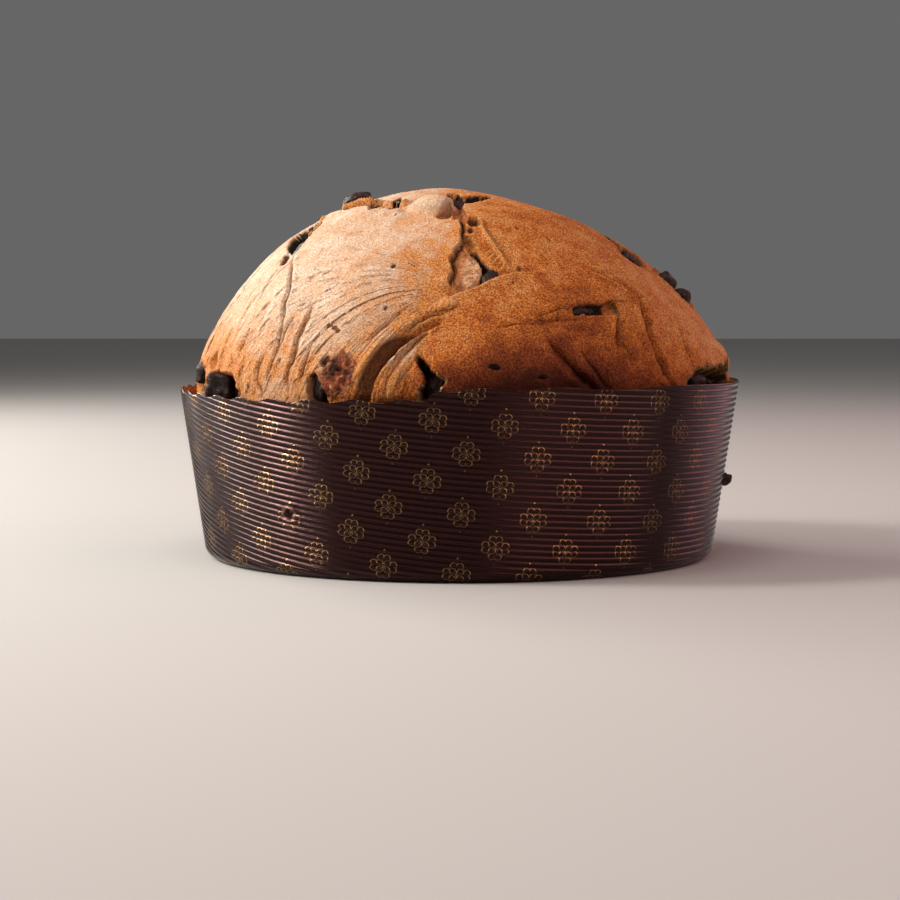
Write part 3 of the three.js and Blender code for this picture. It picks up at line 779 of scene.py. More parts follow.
def tear_crown_left():
    band = [(-78, 132.6), (-68, 131), (-59, 131), (-54, 131.8), (-46, 130.6), (-36, 131.6), (-31, 132.2),
            (-36, 134), (-46, 134.8), (-60, 135.4), (-74, 135)]
    near, offset, _ = tear(band, 2.6, wall=1.0, ragged=0.7, floor=0.9, colour=PALE_CRUMB, seed=33)
    colour_spots(near, ease(-offset, 0.5, 2) * ease(rough(SKIN[near], 3.5, 35), 0.0, 0.4), BROWN_CRUMB)
    front = [(-82, 129.6), (-70, 129.8), (-59, 130.6), (-54.6, 131.3), (-51.4, 131.8), (-46, 130.2),
             (-42.5, 131.3), (-35.4, 131.1), (-30, 131.9)]
    near, offset, ends = edge(front[::-1], 1.2, 4.5, 1.8, gap=2.0, ragged=0.6, seed=37)
    colour_spots(near, ends * ease(offset, 0.2, 0.8) * ease(-offset, -2.4, -1.4) * 0.8, ORANGE_SKIN)
    # The holes are painted near black: dark crumb, and painted shade inside them.
    for azimuth, height in ((-60, 134.6), (-47, 133.4), (-45, 135), (-40, 134.4)):
        hole = diamond(azimuth, height, (2.6, 2.8), (1, 0.9))
        tear(hole, 3.2, wall=0.8, ragged=0.5, colour=BLACK_CRUMB_AND_SHADE, seed=38)
    strip = [(-78, 131), (-74.4, 132.4), (-70.6, 133.8), (-66.4, 134.6), (-61, 135.4)]
    near, far, side, along = line_offset(strip, 5)
    ends = ease(1 - along, 0, 0.25) * ease(along, 0, 0.15)
    body = bell(far, 0.85) * ends
    # A black band is painted just below the raised strip as its shadow.
    colour_spots(near, bell(far * side - 1.7, 0.8) * ends, BLACK_CRUMB_AND_SHADE)
    DIG[near] *= 1 - 0.9 * body
    LIFT[near] += (2.3 + 0.3 * hills(SKIN[near], 2, 36)) * body
    colour_spots(near, ease(body, 0.1, 0.5), STRIP_GOLD)
    film = [(-40, 135.4), (-33, 134.6), (-28, 133.6), (-31, 132.6), (-36, 133.6)]
    near, offset, _ = outline_offset(film)
    folded = ease(-offset, -0.3, 0.5)
    DIG[near] *= 1 - 0.8 * folded
    LIFT[near] += 0.9 * folded
    colour_spots(near, folded * 0.9, ORANGE_SKIN)


raise_bubble()
tear_crown_left()

# %% [markdown]
# ## Left shoulder
#
# A long hollow with a chocolate piece opens high on the left, with a crack that runs down from it to
# the rim. More cracks and soft folds hang beside it, nearly upright, like pleats of cloth.

# %% Left hollow, cracks and pleats
# Each fold: its path, width, depth, lean and seed.
LEFT_FOLDS = [
    ([(-55, 112.6), (-49.4, 106), (-46.2, 101), (-45.2, 96.4), (-43.2, 90.2), (-42.4, 82), (-42.6, 75.8),
      (-43.5, 69)], 1.5, 1.9, -0.4, 44),
    ([(-57.7, 108.5), (-57.8, 103.6), (-56.4, 97.6)], 1.1, 1.2, 0, 46),
    ([(-35.6, 95.4), (-36, 91), (-36.6, 86), (-36.8, 80.2), (-37, 76), (-37.6, 71), (-36.6, 65)],
     2.1, 2.6, -0.45, 48),
    ([(-40.4, 92), (-41.4, 84), (-41.6, 77)], 1.5, 1.7, -0.3, 50),
    ([(-54, 87.8), (-54.4, 82.2), (-54.6, 76.5)], 1.5, 1.7, -0.3, 52),
    ([(-45.6, 79), (-46.4, 71), (-44, 64)], 1.6, 1.9, -0.3, 54),
    ([(-51.4, 75), (-51.8, 70), (-51, 64)], 1.5, 1.8, 0.2, 56),
    ([(-61, 100), (-60.6, 92), (-59.4, 84)], 1.1, 0.9, 0, 58),
    ([(-64, 88), (-63.6, 80), (-62, 73)], 1.6, 1.6, 0, 60),
    ([(-32, 82), (-33, 75), (-33.4, 68)], 1.3, 1.3, 0, 62),
]


def tear_left_shoulder():
    hollow = [(-56, 113.4), (-65, 115.6), (-76, 119.4), (-86, 123), (-76, 126.6), (-65, 125.6), (-60, 121.4),
              (-57, 116.6)]
    # The hollow is painted near black: chocolate, and painted shade deep inside it.
    tear(hollow, 5.2, wall=1.2, ragged=0.35, floor=0.3, colour=BLACK_CRUMB_AND_SHADE, seed=41)
    strip = [(-62, 121), (-66, 124.4), (-72, 126.8), (-80, 128)]
    near, far, _, _ = line_offset(strip, 4)
    DIG[near] *= 1 - 0.85 * bell(far, 1.1)
    LIFT[near] += 0.9 * bell(far, 0.9)
    colour_spots(near, bell(far, 1.2), STRIP_TAN)
    tear([(-63, 113.6), (-59.4, 113.8), (-56.2, 111.6), (-56, 109.4), (-60, 110.6)], 3.2, seed=43)
    for path, width, depth, lean, seed in LEFT_FOLDS:
        fold(path, width, depth, lean=lean, seed=seed)
    for azimuth, height in ((-27.4, 87.8), (-28.9, 88.6), (-26.4, 86.6)):
        tear(diamond(azimuth, height, (0.7, 0.8), (0.8, 0.7)), 1.4, wall=0.6, ragged=0.3, seed=64)


tear_left_shoulder()

# %% [markdown]
# ## Down to the rim
#
# Along the rim the crust has opened in several places: a square chunk of chocolate in a gap at the
# far left, a patch of melted chocolate beside a dark slot, a deep slanting groove, and a black cavity
# with bits of pale crumb along its edge.

# %% Front rim
def tear_front_rim():
    gap = [(-69, 61), (-68.6, 68.5), (-66, 71.4), (-60, 71.6), (-55, 70.6), (-52.6, 66), (-51, 60)]
    near, offset, spot = tear(gap, 7.5, wall=1.0, ragged=0.6, floor=0.6, seed=71)
    # Painted light: the upper edge of the gap is painted lighter, as where it faces the lamps.
    lit = bell(offset, 0.8) * ease(spot[:, 1], 2.6, 4.6)
    colour_spots(near, lit * 0.8, LIT_GAP_EDGE)
    tear([(-70, 74.8), (-68.2, 79.2), (-65.6, 76.8), (-65, 73.6), (-67.4, 72)], 2.4, wall=1.3, ragged=0.2,
         floor=0.1, colour=DENT_ORANGE, seed=73)
    fold([(-58.4, 78.4), (-56.8, 76), (-56, 73.2)], 1.6, 1.4, seed=74)
    left = [(-86, 62), (-85, 70), (-80, 74.6), (-73, 73), (-70.6, 68), (-71, 62)]
    near, offset, _ = tear(left, 5.0, wall=1.2, ragged=1.3, floor=0.9, colour=WARM_CRUMB, seed=75)
    colour_spots(near, ease(rough(SKIN[near], 2.4, 76), 0, 0.4) * ease(-offset, 0, 1), BROWN_CRUMB)
    slot = [(-30.9, 71.6), (-29.8, 72), (-28.4, 69), (-27, 64.4), (-26.8, 61), (-29.4, 61), (-31, 66)]
    # The slot is painted near black: chocolate, and painted shade deep inside it.
    tear(slot, 6.0, wall=0.8, ragged=0.25, floor=0.5, colour=BLACK_CRUMB_AND_SHADE, seed=77)
    flap = [(-34.6, 69.6), (-31, 71.6), (-30.4, 67), (-29.6, 62), (-34.4, 61.6), (-35.2, 66)]
    near, offset, spot = outline_offset(flap)
    lifted = ease(-offset, -0.2, 0.8) * ease(spot[:, 0], -4, 3.4)
    LIFT[near] += 1.5 * lifted
    colour_spots(near, ease(-offset, -0.2, 0.6) * 0.4, FLAP_TAN)
    draw_groove(near, offset - 0.2, 0.7 * ease(spot[:, 1], 0.5, 3))
    patch = [(-27.6, 76.6), (-25.2, 78.6), (-21.8, 77), (-20.8, 73), (-21.4, 68.6), (-23.2, 65.4),
             (-25.2, 64.4), (-28, 67), (-28.4, 72.6)]
    near, offset, spot = tear(patch, 0.6, wall=1.0, ragged=1.9, floor=1.3, colour=RED_CRUMB, seed=79,
                              size=1.9)
    colour_spots(near, ease(-offset, -3.0, -0.2) * 0.5 * (offset > 0), STAIN_RED)
    spots = ease(rough(SKIN[near], 2.2, 81) + ease(-spot[:, 0], -1, 3) * ease(spot[:, 1], -1, 3), 0.1, 0.5)
    colour_spots(near, spots * ease(-offset, 0.2, 1.2), STAIN_BLACK)
    bits = ease(hills(SKIN[near], 1.3, 83), 0.15, 0.4) * ease(-offset, 0, 1)
    colour_spots(near, bits * 0.8, STAIN_BITS)
    LIFT[near] += 0.5 * bits
    cavity = [(-8.8, 78.2), (-8, 79), (-7.2, 77.8), (-5.6, 74.6), (-4.2, 72.4), (-2.8, 71), (-2.6, 69.4),
              (-3.8, 66.8), (-4.6, 62), (-7.6, 62), (-7.9, 66.2), (-6.8, 69.6), (-6.9, 72), (-7.9, 75.2)]
    # The cavity is painted near black: chocolate, and painted shade deep inside it.
    near, offset, _ = tear(cavity, 8.5, wall=0.9, ragged=0.35, floor=0.8, colour=BLACK_CRUMB_AND_SHADE, seed=85)
    bits = bell(offset - 0.2, 0.45) * ease(hills(SKIN[near], 1.5, 87), -0.1, 0.3)
    LIFT[near] += 0.7 * bits
    colour_spots(near, bits * 0.9, CREAM_CRUMB)


FOLDS_BESIDE_THE_GROOVE = [
    ([(-6, 88), (-11, 79), (-13.6, 71), (-14.4, 64)], 1.3, 1.3, -0.3, 93),
    ([(-0.4, 95), (-6.2, 92.4), (-10.5, 88), (-13.6, 82)], 1.2, 1.1, -0.2, 95),
    ([(-12, 95), (-15.6, 88.8), (-19, 83)], 1.2, 0.9, 0, 97),
    ([(-9, 76), (-11, 71), (-12, 66)], 0.9, 0.8, 0, 99),
]


def groove_the_front():
    main = [(-3.6, 90.4), (-8.4, 86.4), (-13, 80.2), (-16.1, 71.8), (-17.4, 65), (-17.8, 61)]
    fold(main, 2.9, 3.8, lip=0.35, lean=0.6, ragged=0.12, seed=91)
    # Painted shade on the groove's gentle left wall, which faces away from the key lamp.
    near, far, side, along = line_offset(main, 10)
    reach = 3 + 5.5 * ease(along, 0.2, 0.6)
    wall = ease(far * side, -0.4, 0.4) * (1 - ease(far, 0.3 * reach, reach)) * ease(along, 0.12, 0.45)
    colour_spots(near, wall * 0.9, PAINTED_GROOVE_SHADE)
    for path, width, depth, lean, seed in FOLDS_BESIDE_THE_GROOVE:
        fold(path, width, depth, lean=lean, seed=seed)
    swell(-14, 68, 7, 10, 1.8)
    swell(2, 80, 16, 12, 0.8)


tear_front_rim()
groove_the_front()

# %% [markdown]
# ## Right side
#
# The right of the front is smoother. A thin slot shows chocolate, with a hairline crack to its left
# and a sharp crease that falls from its right end. Below, folds fan out to the rim, and at the far
# right the crust overhangs a black cavity with crumb hanging from it like teeth.

# %% Slot, folds and cavity
# Each fold: its path, width, depth, lip, lean and seed.
RIGHT_FOLDS = [
    ([(25.4, 93.6), (24.1, 94.4), (22.4, 94.4), (20.4, 93.5), (18.6, 92.6), (16.8, 92)],
     0.6, 0.8, 0.25, 0, 103),
    ([(38.4, 96), (37.4, 92), (35.7, 88), (34.6, 84), (34.2, 79.4)], 2.1, 2.4, 0.35, -0.5, 107),
    ([(35.2, 83), (36.6, 79), (37.4, 76)], 1.0, 0.9, 0.25, 0, 109),
    ([(18.6, 84.4), (20.4, 80.6), (23.2, 75), (26.6, 68.6), (28, 63)], 2.6, 3.0, 0.3, 0.35, 111),
    ([(25, 80.5), (27.6, 74.4), (29.6, 69), (30.4, 64)], 1.2, 1.2, 0.25, 0.2, 113),
    ([(30.4, 74), (30.6, 69), (31, 65)], 1.1, 1.3, 0.25, 0, 115),
    ([(48, 98), (45.6, 92), (44.4, 84), (44.6, 77), (46, 70), (49, 63)], 2.3, 2.7, 0.35, 0.3, 117),
    ([(38, 108), (43, 104.4), (46, 101), (48, 97)], 2.4, 1.5, 0.5, 0, 119),
    ([(56, 88), (55, 80), (56, 73)], 2.0, 0.9, 0.25, 0, 123),
    ([(14, 91), (20, 90.4), (27, 90.8)], 1.4, 0.6, 0.25, 0, 125),
    ([(8, 88.6), (14, 89.6), (20, 88.6)], 1.2, 0.6, 0.25, 0, 127),
]


def tear_right_side():
    slot = [(26, 94.6), (26.8, 95.4), (29.4, 95.7), (32.4, 96), (35, 96.5), (37, 97.2), (38.4, 96.4),
            (38.1, 94), (37.6, 92.2), (33.2, 92), (28.4, 92.4), (26, 91.9)]
    # The slot is painted near black: chocolate, and painted shade inside it.
    near, offset, spot = tear(slot, 3.3, wall=0.6, ragged=0.3, floor=0.3, colour=BLACK_CRUMB_AND_SHADE, seed=101)
    colour_spots(near, ease(spot[:, 0], 3.2, 5.2) * ease(-offset, 0, 0.6), ORANGE_SKIN)
    below = bell(offset, 0.5) * ease(-spot[:, 1], 0.5, 1.6)
    colour_spots(near, below * 0.6, SLOT_EDGE)
    fold([(38.2, 96.6), (40.2, 96.8), (42, 96.4)], 0.8, 1.1, ragged=0.6, seed=105)
    for path, width, depth, lip, lean, seed in RIGHT_FOLDS:
        fold(path, width, depth, lip, lean, seed=seed)


def tear_right_rim():
    cavity = [(50, 61), (51.6, 66), (53.4, 70.4), (57.6, 72.6), (63, 73.4), (68, 72.4), (73, 74), (78, 73),
              (81.6, 70.6), (81, 66), (79, 61)]
    near, offset, _ = outline_offset(cavity)
    teeth = 1.9 * hills(SKIN[near] * np.array([1, 1, 0.2]), 1.4, 131)
    inside = ease(-(offset + teeth), -0.1, 0.8)
    DIG[near] = np.maximum(DIG[near], inside * (8.5 + 0.6 * rough(SKIN[near], 2, 133)))
    TORN[near] = np.maximum(TORN[near], inside)
    colour_spots(near, ease(-(offset + teeth), -1.8, 0.0), OLIVE_CRUMB)
    # Painted shade: the deep part of the cavity, under the overhanging crust, is painted near black.
    colour_spots(near, ease(-(offset + teeth), -0.3, 0.2) * ease(SKIN_AZIMUTH[near], 52.5, 54), BLACK_CRUMB_AND_SHADE)
    fringe = bell(offset + teeth + 0.4, 0.6) * ease(hills(SKIN[near], 1.2, 134), -0.3, 0.2)
    colour_spots(near, fringe * 0.85, TEETH_TAN)
    LIFT[near] += 0.5 * fringe
    swell(74, 77, 14, 7, 2.0)
    swell(84, 74.5, 5, 3.6, 1.8)


def slit_the_right_edge():
    upper = [(69, 117), (71, 119.4), (76, 121.8), (84, 124), (90, 124.4), (88, 121.6), (80, 119), (73, 116.6)]
    lower = [(64.4, 115.6), (70, 116.8), (78, 116.4), (80, 113.4), (73, 110.6), (65.4, 109.8), (62.8, 112)]
    for outline, seed in ((upper, 135), (lower, 137)):
        near, offset, _ = tear(outline, 2.0, wall=0.8, ragged=0.7, floor=0.5, colour=SLIT_CRUMB,
                                  seed=seed)
        colour_spots(near, bell(offset - 0.4, 0.6) * 0.7, SLIT_EDGE)
    nest = [(72.4, 107.6), (78, 109.4), (83.4, 108), (84, 103), (81.6, 98.6), (80, 95.2), (74, 94.4),
            (71, 97), (71.4, 102)]
    near, offset, _ = tear(nest, 1.2, wall=0.9, ragged=0.8, floor=0.5, seed=138)
    lip = bell(offset - 0.5, 0.7)
    LIFT[near] += 0.8 * lip
    colour_spots(near, lip * 0.8, NEST_EDGE)
    # The holes are painted near black: dark crumb, and painted shade inside them.
    for azimuth, height in ((7, 75), (16.5, 71.4)):
        hole = [(azimuth - 1.3, height), (azimuth, height + 1), (azimuth + 1.3, height - 0.2),
                (azimuth, height - 1)]
        tear(hole, 1.3, wall=0.6, ragged=0.4, colour=BLACK_CRUMB_AND_SHADE, seed=139)


tear_right_side()
tear_right_rim()
slit_the_right_edge()

# %% [markdown]
# ## Round the back
#
# Folds run up from the rim all round the back, evenly spaced with a seeded scatter, and small pits
# are scattered over the whole dome.

# %% Back folds
BACK_FOLDS = 15
BACK_FROM = 96
BACK_TO = 272


def fold_the_back():
    draw = np.random.default_rng(7)
    spacing = (BACK_TO - BACK_FROM) / BACK_FOLDS
    for number in range(BACK_FOLDS):
        azimuth = BACK_FROM + (number + draw.uniform(0.2, 0.8)) * spacing
        top = draw.uniform(80, 108)
        lean = draw.uniform(-6, 6)
        path = [(azimuth, 61), (azimuth + lean / 4, 70), (azimuth + lean / 2, (70 + top) / 2),
                (azimuth + lean, top)]
        width = draw.uniform(1.4, 2.4)
        fold(path, width, width * draw.uniform(0.9, 1.3), lean=draw.uniform(-0.4, 0.4), seed=150 + number)


def prick_the_crust(count):
    """Small pits where gas broke the skin."""
    draw = np.random.default_rng(19)
    for number in range(count):
        azimuth, height = draw.uniform(0, 360), draw.uniform(72, 134)
        half = draw.uniform(0.5, 1.0)
        turn = degrees(half / 90)
        outline = diamond(azimuth, height, (turn, turn), (half, half))
        tear(outline, 0.9, wall=0.7, ragged=0.3, floor=0.1, seed=200 + number)


fold_the_back()
prick_the_crust(26)
print("deepest fold in mm:", round(float(DIG.max()), 1))

# %% [markdown]
# ## Wrinkles
#
# The skin between the folds is finely wrinkled, because it stretched towards the split as it set.
# Wrinkles hang straight down at the sides and turn towards the split near it. The lines of
# such a field are those of water that runs down and is drawn to a point, so the same formula gives
# them: one number that is constant along each wrinkle, and one that grows along it.

# %% Wrinkle field
PULL_AZIMUTH = -3
PULL_HEIGHT = 100
PULL = 50
PULL_REACH = 90
WRINKLE_RADIUS = 95


def wrinkle_field():
    """A place for each point of the skin in a space where wrinkles run straight up."""
    across = np.radians((SKIN_AZIMUTH - PULL_AZIMUTH + 540) % 360 - 180) * WRINKLE_RADIUS
    rise = SKIN_HEIGHT - PULL_HEIGHT
    pull = PULL * bell(across, PULL_REACH)
    angle = np.arctan2(across, -rise)
    number = (across + pull * angle) / WRINKLE_RADIUS
    along = rise + pull * np.log(np.hypot(across, rise) + 4)
    return np.stack([WRINKLE_RADIUS * np.cos(number), WRINKLE_RADIUS * np.sin(number), along], axis=-1)


WRINKLE_PLACE = wrinkle_field()


def wrinkle_amount():
    """0 where the skin is smooth, 1 where it is most wrinkled, low on the left of the front."""
    left = ease(-SKIN_AZIMUTH, 1, 13) * ease(SKIN_AZIMUTH, -104, -74)
    strong = left * (0.15 + 0.85 * (1 - ease(SKIN_HEIGHT, 98, 126)))
    back = 0.6 * (1 - ease(SKIN_HEIGHT, 82, 112)) * ease(np.abs(SKIN_AZIMUTH), 84, 115)
    patchy = 0.75 + 0.25 * hills(SKIN, 17, 305)
    seam = ease(177 - np.abs(SKIN_AZIMUTH - PULL_AZIMUTH), 0, 8)
    return (strong + back) * patchy * (1 - TORN) * seam


# %% [markdown]
# Most wrinkles are pleats: the skin slid over itself, so each one climbs slowly to a lip and then
# drops at once. A saw-tooth of the wrinkle number gives that profile. The number of
# pleats is whole, so that they close round the loaf, and each pleat has its own strength, which also
# comes and goes along it.

# %% Pleats
PLEATS = ({"count": 120, "height": 0.95, "seed": 311}, {"count": 230, "height": 0.42, "seed": 321})
BEND_LENGTH = 1900
BEND = 0.55
PLEAT_SPREAD = 9.7
STRENGTH_LENGTH = 0.17
PLEAT_STEEPNESS = 2.2
PLEAT_DROP = 0.08


def pleat(count, seed):
    """The running number of the pleat at each point, whose fraction goes from lip to lip, and how
    strong the pleat is there."""
    turn = np.arctan2(WRINKLE_PLACE[:, 1], WRINKLE_PLACE[:, 0]) / (2 * pi)
    bend = rough(WRINKLE_PLACE * np.array([1, 1, 0.3]), BEND_LENGTH / count, seed, octaves=2)
    phase = turn * count + BEND * bend
    own = np.mod(np.floor(phase), count)
    rise = WRINKLE_PLACE[:, 2]
    strength = hills(np.stack([own * PLEAT_SPREAD, rise * STRENGTH_LENGTH, own * 0], axis=-1), 1, seed + 1)
    return phase, ease(strength, -0.1, 0.5)


PLEAT_MARKS = []


def wrinkle_the_skin():
    """Lifts the pleats, and broad swellings between them."""
    amount = wrinkle_amount()
    for sort in PLEATS:
        phase, strength = pleat(sort["count"], sort["seed"])
        part = phase - np.floor(phase)
        rise = part**PLEAT_STEEPNESS * ease(1 - part, 0, PLEAT_DROP)
        LIFT[:] += amount * strength * sort["height"] * (rise - 0.3)
        PLEAT_MARKS.append((phase, amount * strength * min(1.0, sort["height"])))
    LIFT[:] += 0.4 * amount * hills(WRINKLE_PLACE * np.array([1, 1, 0.14]), 8.5, 303)
    return amount


WRINKLE_AMOUNT = wrinkle_the_skin()
print("wrinkled share of the skin:", round(float(WRINKLE_AMOUNT.mean()), 2))

# %% [markdown]
# ## Making the loaf
#
# Now the running values are applied. Every point moves out of the skin by its lift less its
# depth. A slow wave and a fine unevenness cover the whole dome. The mesh also carries the values
# that the finish needs: tint, torn share, painted crease shade, the wrinkle field, and a tone from
# pale to dark.

# %% Mesh helper
def make_piece(name, points, faces, finish, replaced):
    """A mesh object from points in millimetres, which rides on the body and stands for a solid."""
    mesh = bpy.data.meshes.new(name)
    mesh.from_pydata((np.asarray(points) * MM).tolist(), [], faces)
    mesh.update()
    mesh.polygons.foreach_set("use_smooth", [True] * len(mesh.polygons))
    mesh.materials.append(finish)
    piece = bpy.data.objects.new(name, mesh)
    bpy.context.collection.objects.link(piece)
    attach(piece, "root")
    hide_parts(replaced)
    return piece


def mark_points(piece, name, values):
    """Stores a number, a vector or a colour at each point of a mesh under a name."""
    values = np.asarray(values, float)
    if values.ndim == 1:
        piece.data.attributes.new(name, "FLOAT", "POINT").data.foreach_set("value", values)
    else:
        piece.data.attributes.new(name, "FLOAT_VECTOR", "POINT").data.foreach_set("vector", values.ravel())


# %% Tone of the crust
PALE_TONE = 0.9
RIGHT_DROP = 0.33
# Darker and paler bands: azimuth of the middle, half width, the heights over which the band fades out
# upwards, and its change of tone.
TONE_BANDS = [
    (14, 26, (92, 122), -0.17),
    # Partly baked colour and partly painted shade, where the crust overhangs the rim on the front's right.
    (14, 26, (65, 85), -0.52),
    # Painted light on the groove's right flank, which faces the lamps.
    (-12, 5, (76, 86), 0.22),
    (48, 12, (88, 104), -0.07),
]


def crust_tone():
    """From 0, deep brown, to 1, pale: paler on the left, darkest low on the front's right. This is
    partly the crust's own colour and partly painted light: a pale sheen on the lit left, and shade
    low on the right.
    """
    azimuth, height = SKIN_AZIMUTH, SKIN_HEIGHT
    left = -azimuth
    front = 1 - ease(np.abs(azimuth), 120, 178)
    turned = ease(azimuth, -34, 10) * (0.5 + 0.5 * front) + 0.5 * (1 - front) * (azimuth < 0)
    crown = 1 - ease(np.hypot(SKIN[:, 0], SKIN[:, 1]), 30, 75)
    across = ease(SKIN[:, 0] + 14 * hills(SKIN, 30, 405), -30, 14)
    tone = PALE_TONE - RIGHT_DROP * (turned * (1 - crown) + across * crown)
    for middle, width, (low, high), change in TONE_BANDS:
        tone = tone + change * bell(azimuth - middle, width) * (1 - ease(height, low, high))
    tone = tone + 0.09 * bell(azimuth - 1, 13) * bell(height - 103, 16)
    tone = tone - 0.05 * ease(height, 102, 120) * front
    tone = tone - 0.2 * (1 - ease(height, 72, 100)) * ease(left, 0, 25) * front
    tone = tone - 0.12 * ease(left, 48, 72) * (1 - ease(height, 90, 116)) * (1 - ease(left, 90, 130))
    tone = tone + 0.07 * hills(SKIN, 21, 401) + 0.05 * hills(SKIN, 9, 403)
    return np.clip(tone + 0.03 * np.clip(LIFT, -1, 1.5), 0, 1)


# %% Build the loaf
UNEVEN_LENGTH = 16
CRUST_UNEVENNESS = 0.7
DIG_FROM = 59.5
DIG_FULL = 62
BASE_TONE = 0.3


def shaped_skin():
    """The skin with all that was added to it: slow waves, lifts, fine roughness, crumb and depths."""
    wave = SKIN / UNEVEN_LENGTH
    slow = np.sin(wave[:, 0] + 0.7 * wave[:, 2]) + 0.6 * np.sin(1.7 * wave[:, 1] - 1.4 * wave[:, 0] + 1)
    settle = ease(SKIN_HEIGHT, NECK_HEIGHT, CASE_HEIGHT + 2)
    fine = 0.07 * rough(SKIN, 2.2, 501) + 0.16 * hills(SKIN, 6, 505)
    torn = TORN * 0.2 * rough(SKIN, 1.3, 507)
    move = settle * (CRUST_UNEVENNESS * slow + LIFT + fine + torn)
    move = move - ease(SKIN_HEIGHT, DIG_FROM, DIG_FULL) * DIG
    return SKIN + SKIN_OUT * move[:, None]


def loaf_faces(rows):
    """Faces between the columns. The back leaves out every second row, and a five-sided face joins it
    to the front."""
    faces = []
    kept = sorted(set(range(NECK_START)) | set(range(NECK_START, rows, 2)) | {rows - 1})
    for column in range(LOAF_COLUMNS):
        after = (column + 1) % LOAF_COLUMNS
        coarse = [end >= FRONT_COLUMNS for end in (column, after)]
        steps = kept if any(coarse) else range(rows)
        for low, high in zip(steps[:-1], steps[1:]):
            left = [high] if coarse[0] else range(high, low, -1)
            right = [] if coarse[1] else range(low + 1, high)
            loop = [(low, column), (low, after), *((row, after) for row in right), (high, after)]
            loop += [(row, column) for row in left]
            faces.append(tuple(1 + row * LOAF_COLUMNS + spot for row, spot in loop))
    return faces


def make_loaf(finish):
    """The plain base and sides, the shaped skin, and what the finish needs at each point."""
    rings = LOAF_RINGS.copy()
    rings[NECK_START:] = shaped_skin().reshape(-1, LOAF_COLUMNS, 3)
    rows = len(rings)
    crown = rings[-1].mean(0)
    points = np.vstack([[[0, 0, LOAF_INSET]], rings.reshape(-1, 3), [crown]])
    faces = loaf_faces(rows)
    last = 1 + (rows - 1) * LOAF_COLUMNS
    for column in range(LOAF_COLUMNS):
        after = (column + 1) % LOAF_COLUMNS
        faces.append((0, 1 + after, 1 + column))
        faces.append((last + column, last + after, len(points) - 1))
    used = np.unique(np.concatenate([np.array(face) for face in faces]))
    renumbered = np.zeros(len(points), int)
    renumbered[used] = np.arange(len(used))
    faces = [tuple(renumbered[list(face)].tolist()) for face in faces]
    loaf = make_piece("baked_loaf", points[used], faces, finish, "loaf")
    hidden = 1 + NECK_START * LOAF_COLUMNS

    def spread(values, rest=0.0):
        """Values for all points, with a plain one for those that the case hides."""
        values = np.asarray(values, float)
        shape = (hidden, *values.shape[1:])
        return np.concatenate([np.full(shape, rest), values, values[-1:]])[used]

    marks = {"tint": TINT, "tint_share": TINT_SHARE, "torn": TORN, "crease": CREASE_SHADE,
             "groove_force": GROOVE_FORCE, "wrinkle": WRINKLE_AMOUNT, "wrinkle_place": WRINKLE_PLACE}
    for number, (phase, strength) in enumerate(PLEAT_MARKS):
        marks["pleat_" + str(number)] = phase
        marks["pleat_strength_" + str(number)] = strength
    for name, values in marks.items():
        mark_points(loaf, name, spread(values))
    mark_points(loaf, "groove", spread(GROOVE, NO_GROOVE))
    mark_points(loaf, "tone", spread(crust_tone(), BASE_TONE))
    return loaf


# %% [markdown]
# ## Finish of the crust
#
# Seen close, the pale crust is cream with dark specks, and the deep crust is brown with golden ones,
# about half a millimetre across, over soft patches. It is satin, not glossy. Torn places show the
# crumb, which is rough and open. The colour is a ramp over a tone, times the specks. Short dark lines
# of painted shade lie in the folds, at the foot of the pleats and, very thin, between them, and
# painted shade darkens the creases.

# %% Crust material
# The palest stops are paler and less saturated, partly as painted sheen where the lamps strike the crust.
CRUST_RAMP = [
    (0.0, (0.05, 0.006, 0.003)),
    (0.3, (0.2, 0.038, 0.009)),
    (0.5, (0.43, 0.113, 0.021)),
    (0.65, (0.57, 0.228, 0.071)),
    (0.8, (0.62, 0.385, 0.24)),
    (1.0, (0.73, 0.58, 0.46)),
]
DARK_SPECK = (0.74, 0.64, 0.57)
LIGHT_SPECK = (1.2, 1.26, 1.3)
DEEP_SPECK = (0.62, 0.52, 0.46)
GOLD_SPECK = (1.55, 1.8, 1.65)
NO_SPECK = (1.0, 1.0, 1.0)
PAINTED_FOLD_SHADE = (0.3, 0.19, 0.13)
PLEAT_LINE_WIDTHS = (0.09, 0.12)
CRUST_SHEEN = (1.0, 0.82, 0.66, 1.0)


def thin_lines(paint, jitter, breaks):
    """The dark lines of painted shade in folds and at the foot of pleats, 1 on a line and 0 beside it.
    Those of pleats show only where breaks is 1."""
    offset = paint.mark("groove") + jitter * 0.7
    lines = (1 - paint.ease(abs(offset), 0.12, 0.5)) * paint.mark("groove_force")
    for number, width in enumerate(PLEAT_LINE_WIDTHS):
        phase = paint.mark("pleat_" + str(number)) + jitter * 0.06
        part = phase.sum("FRACT")
        near = part.sum("MINIMUM", 1 - part)
        strength = paint.mark("pleat_strength_" + str(number)) * breaks * 1.6
        lines = lines.sum("MAXIMUM", (1 - paint.ease(near, width * 0.3, width)) * strength)
    return lines.sum("MINIMUM", 1.0)


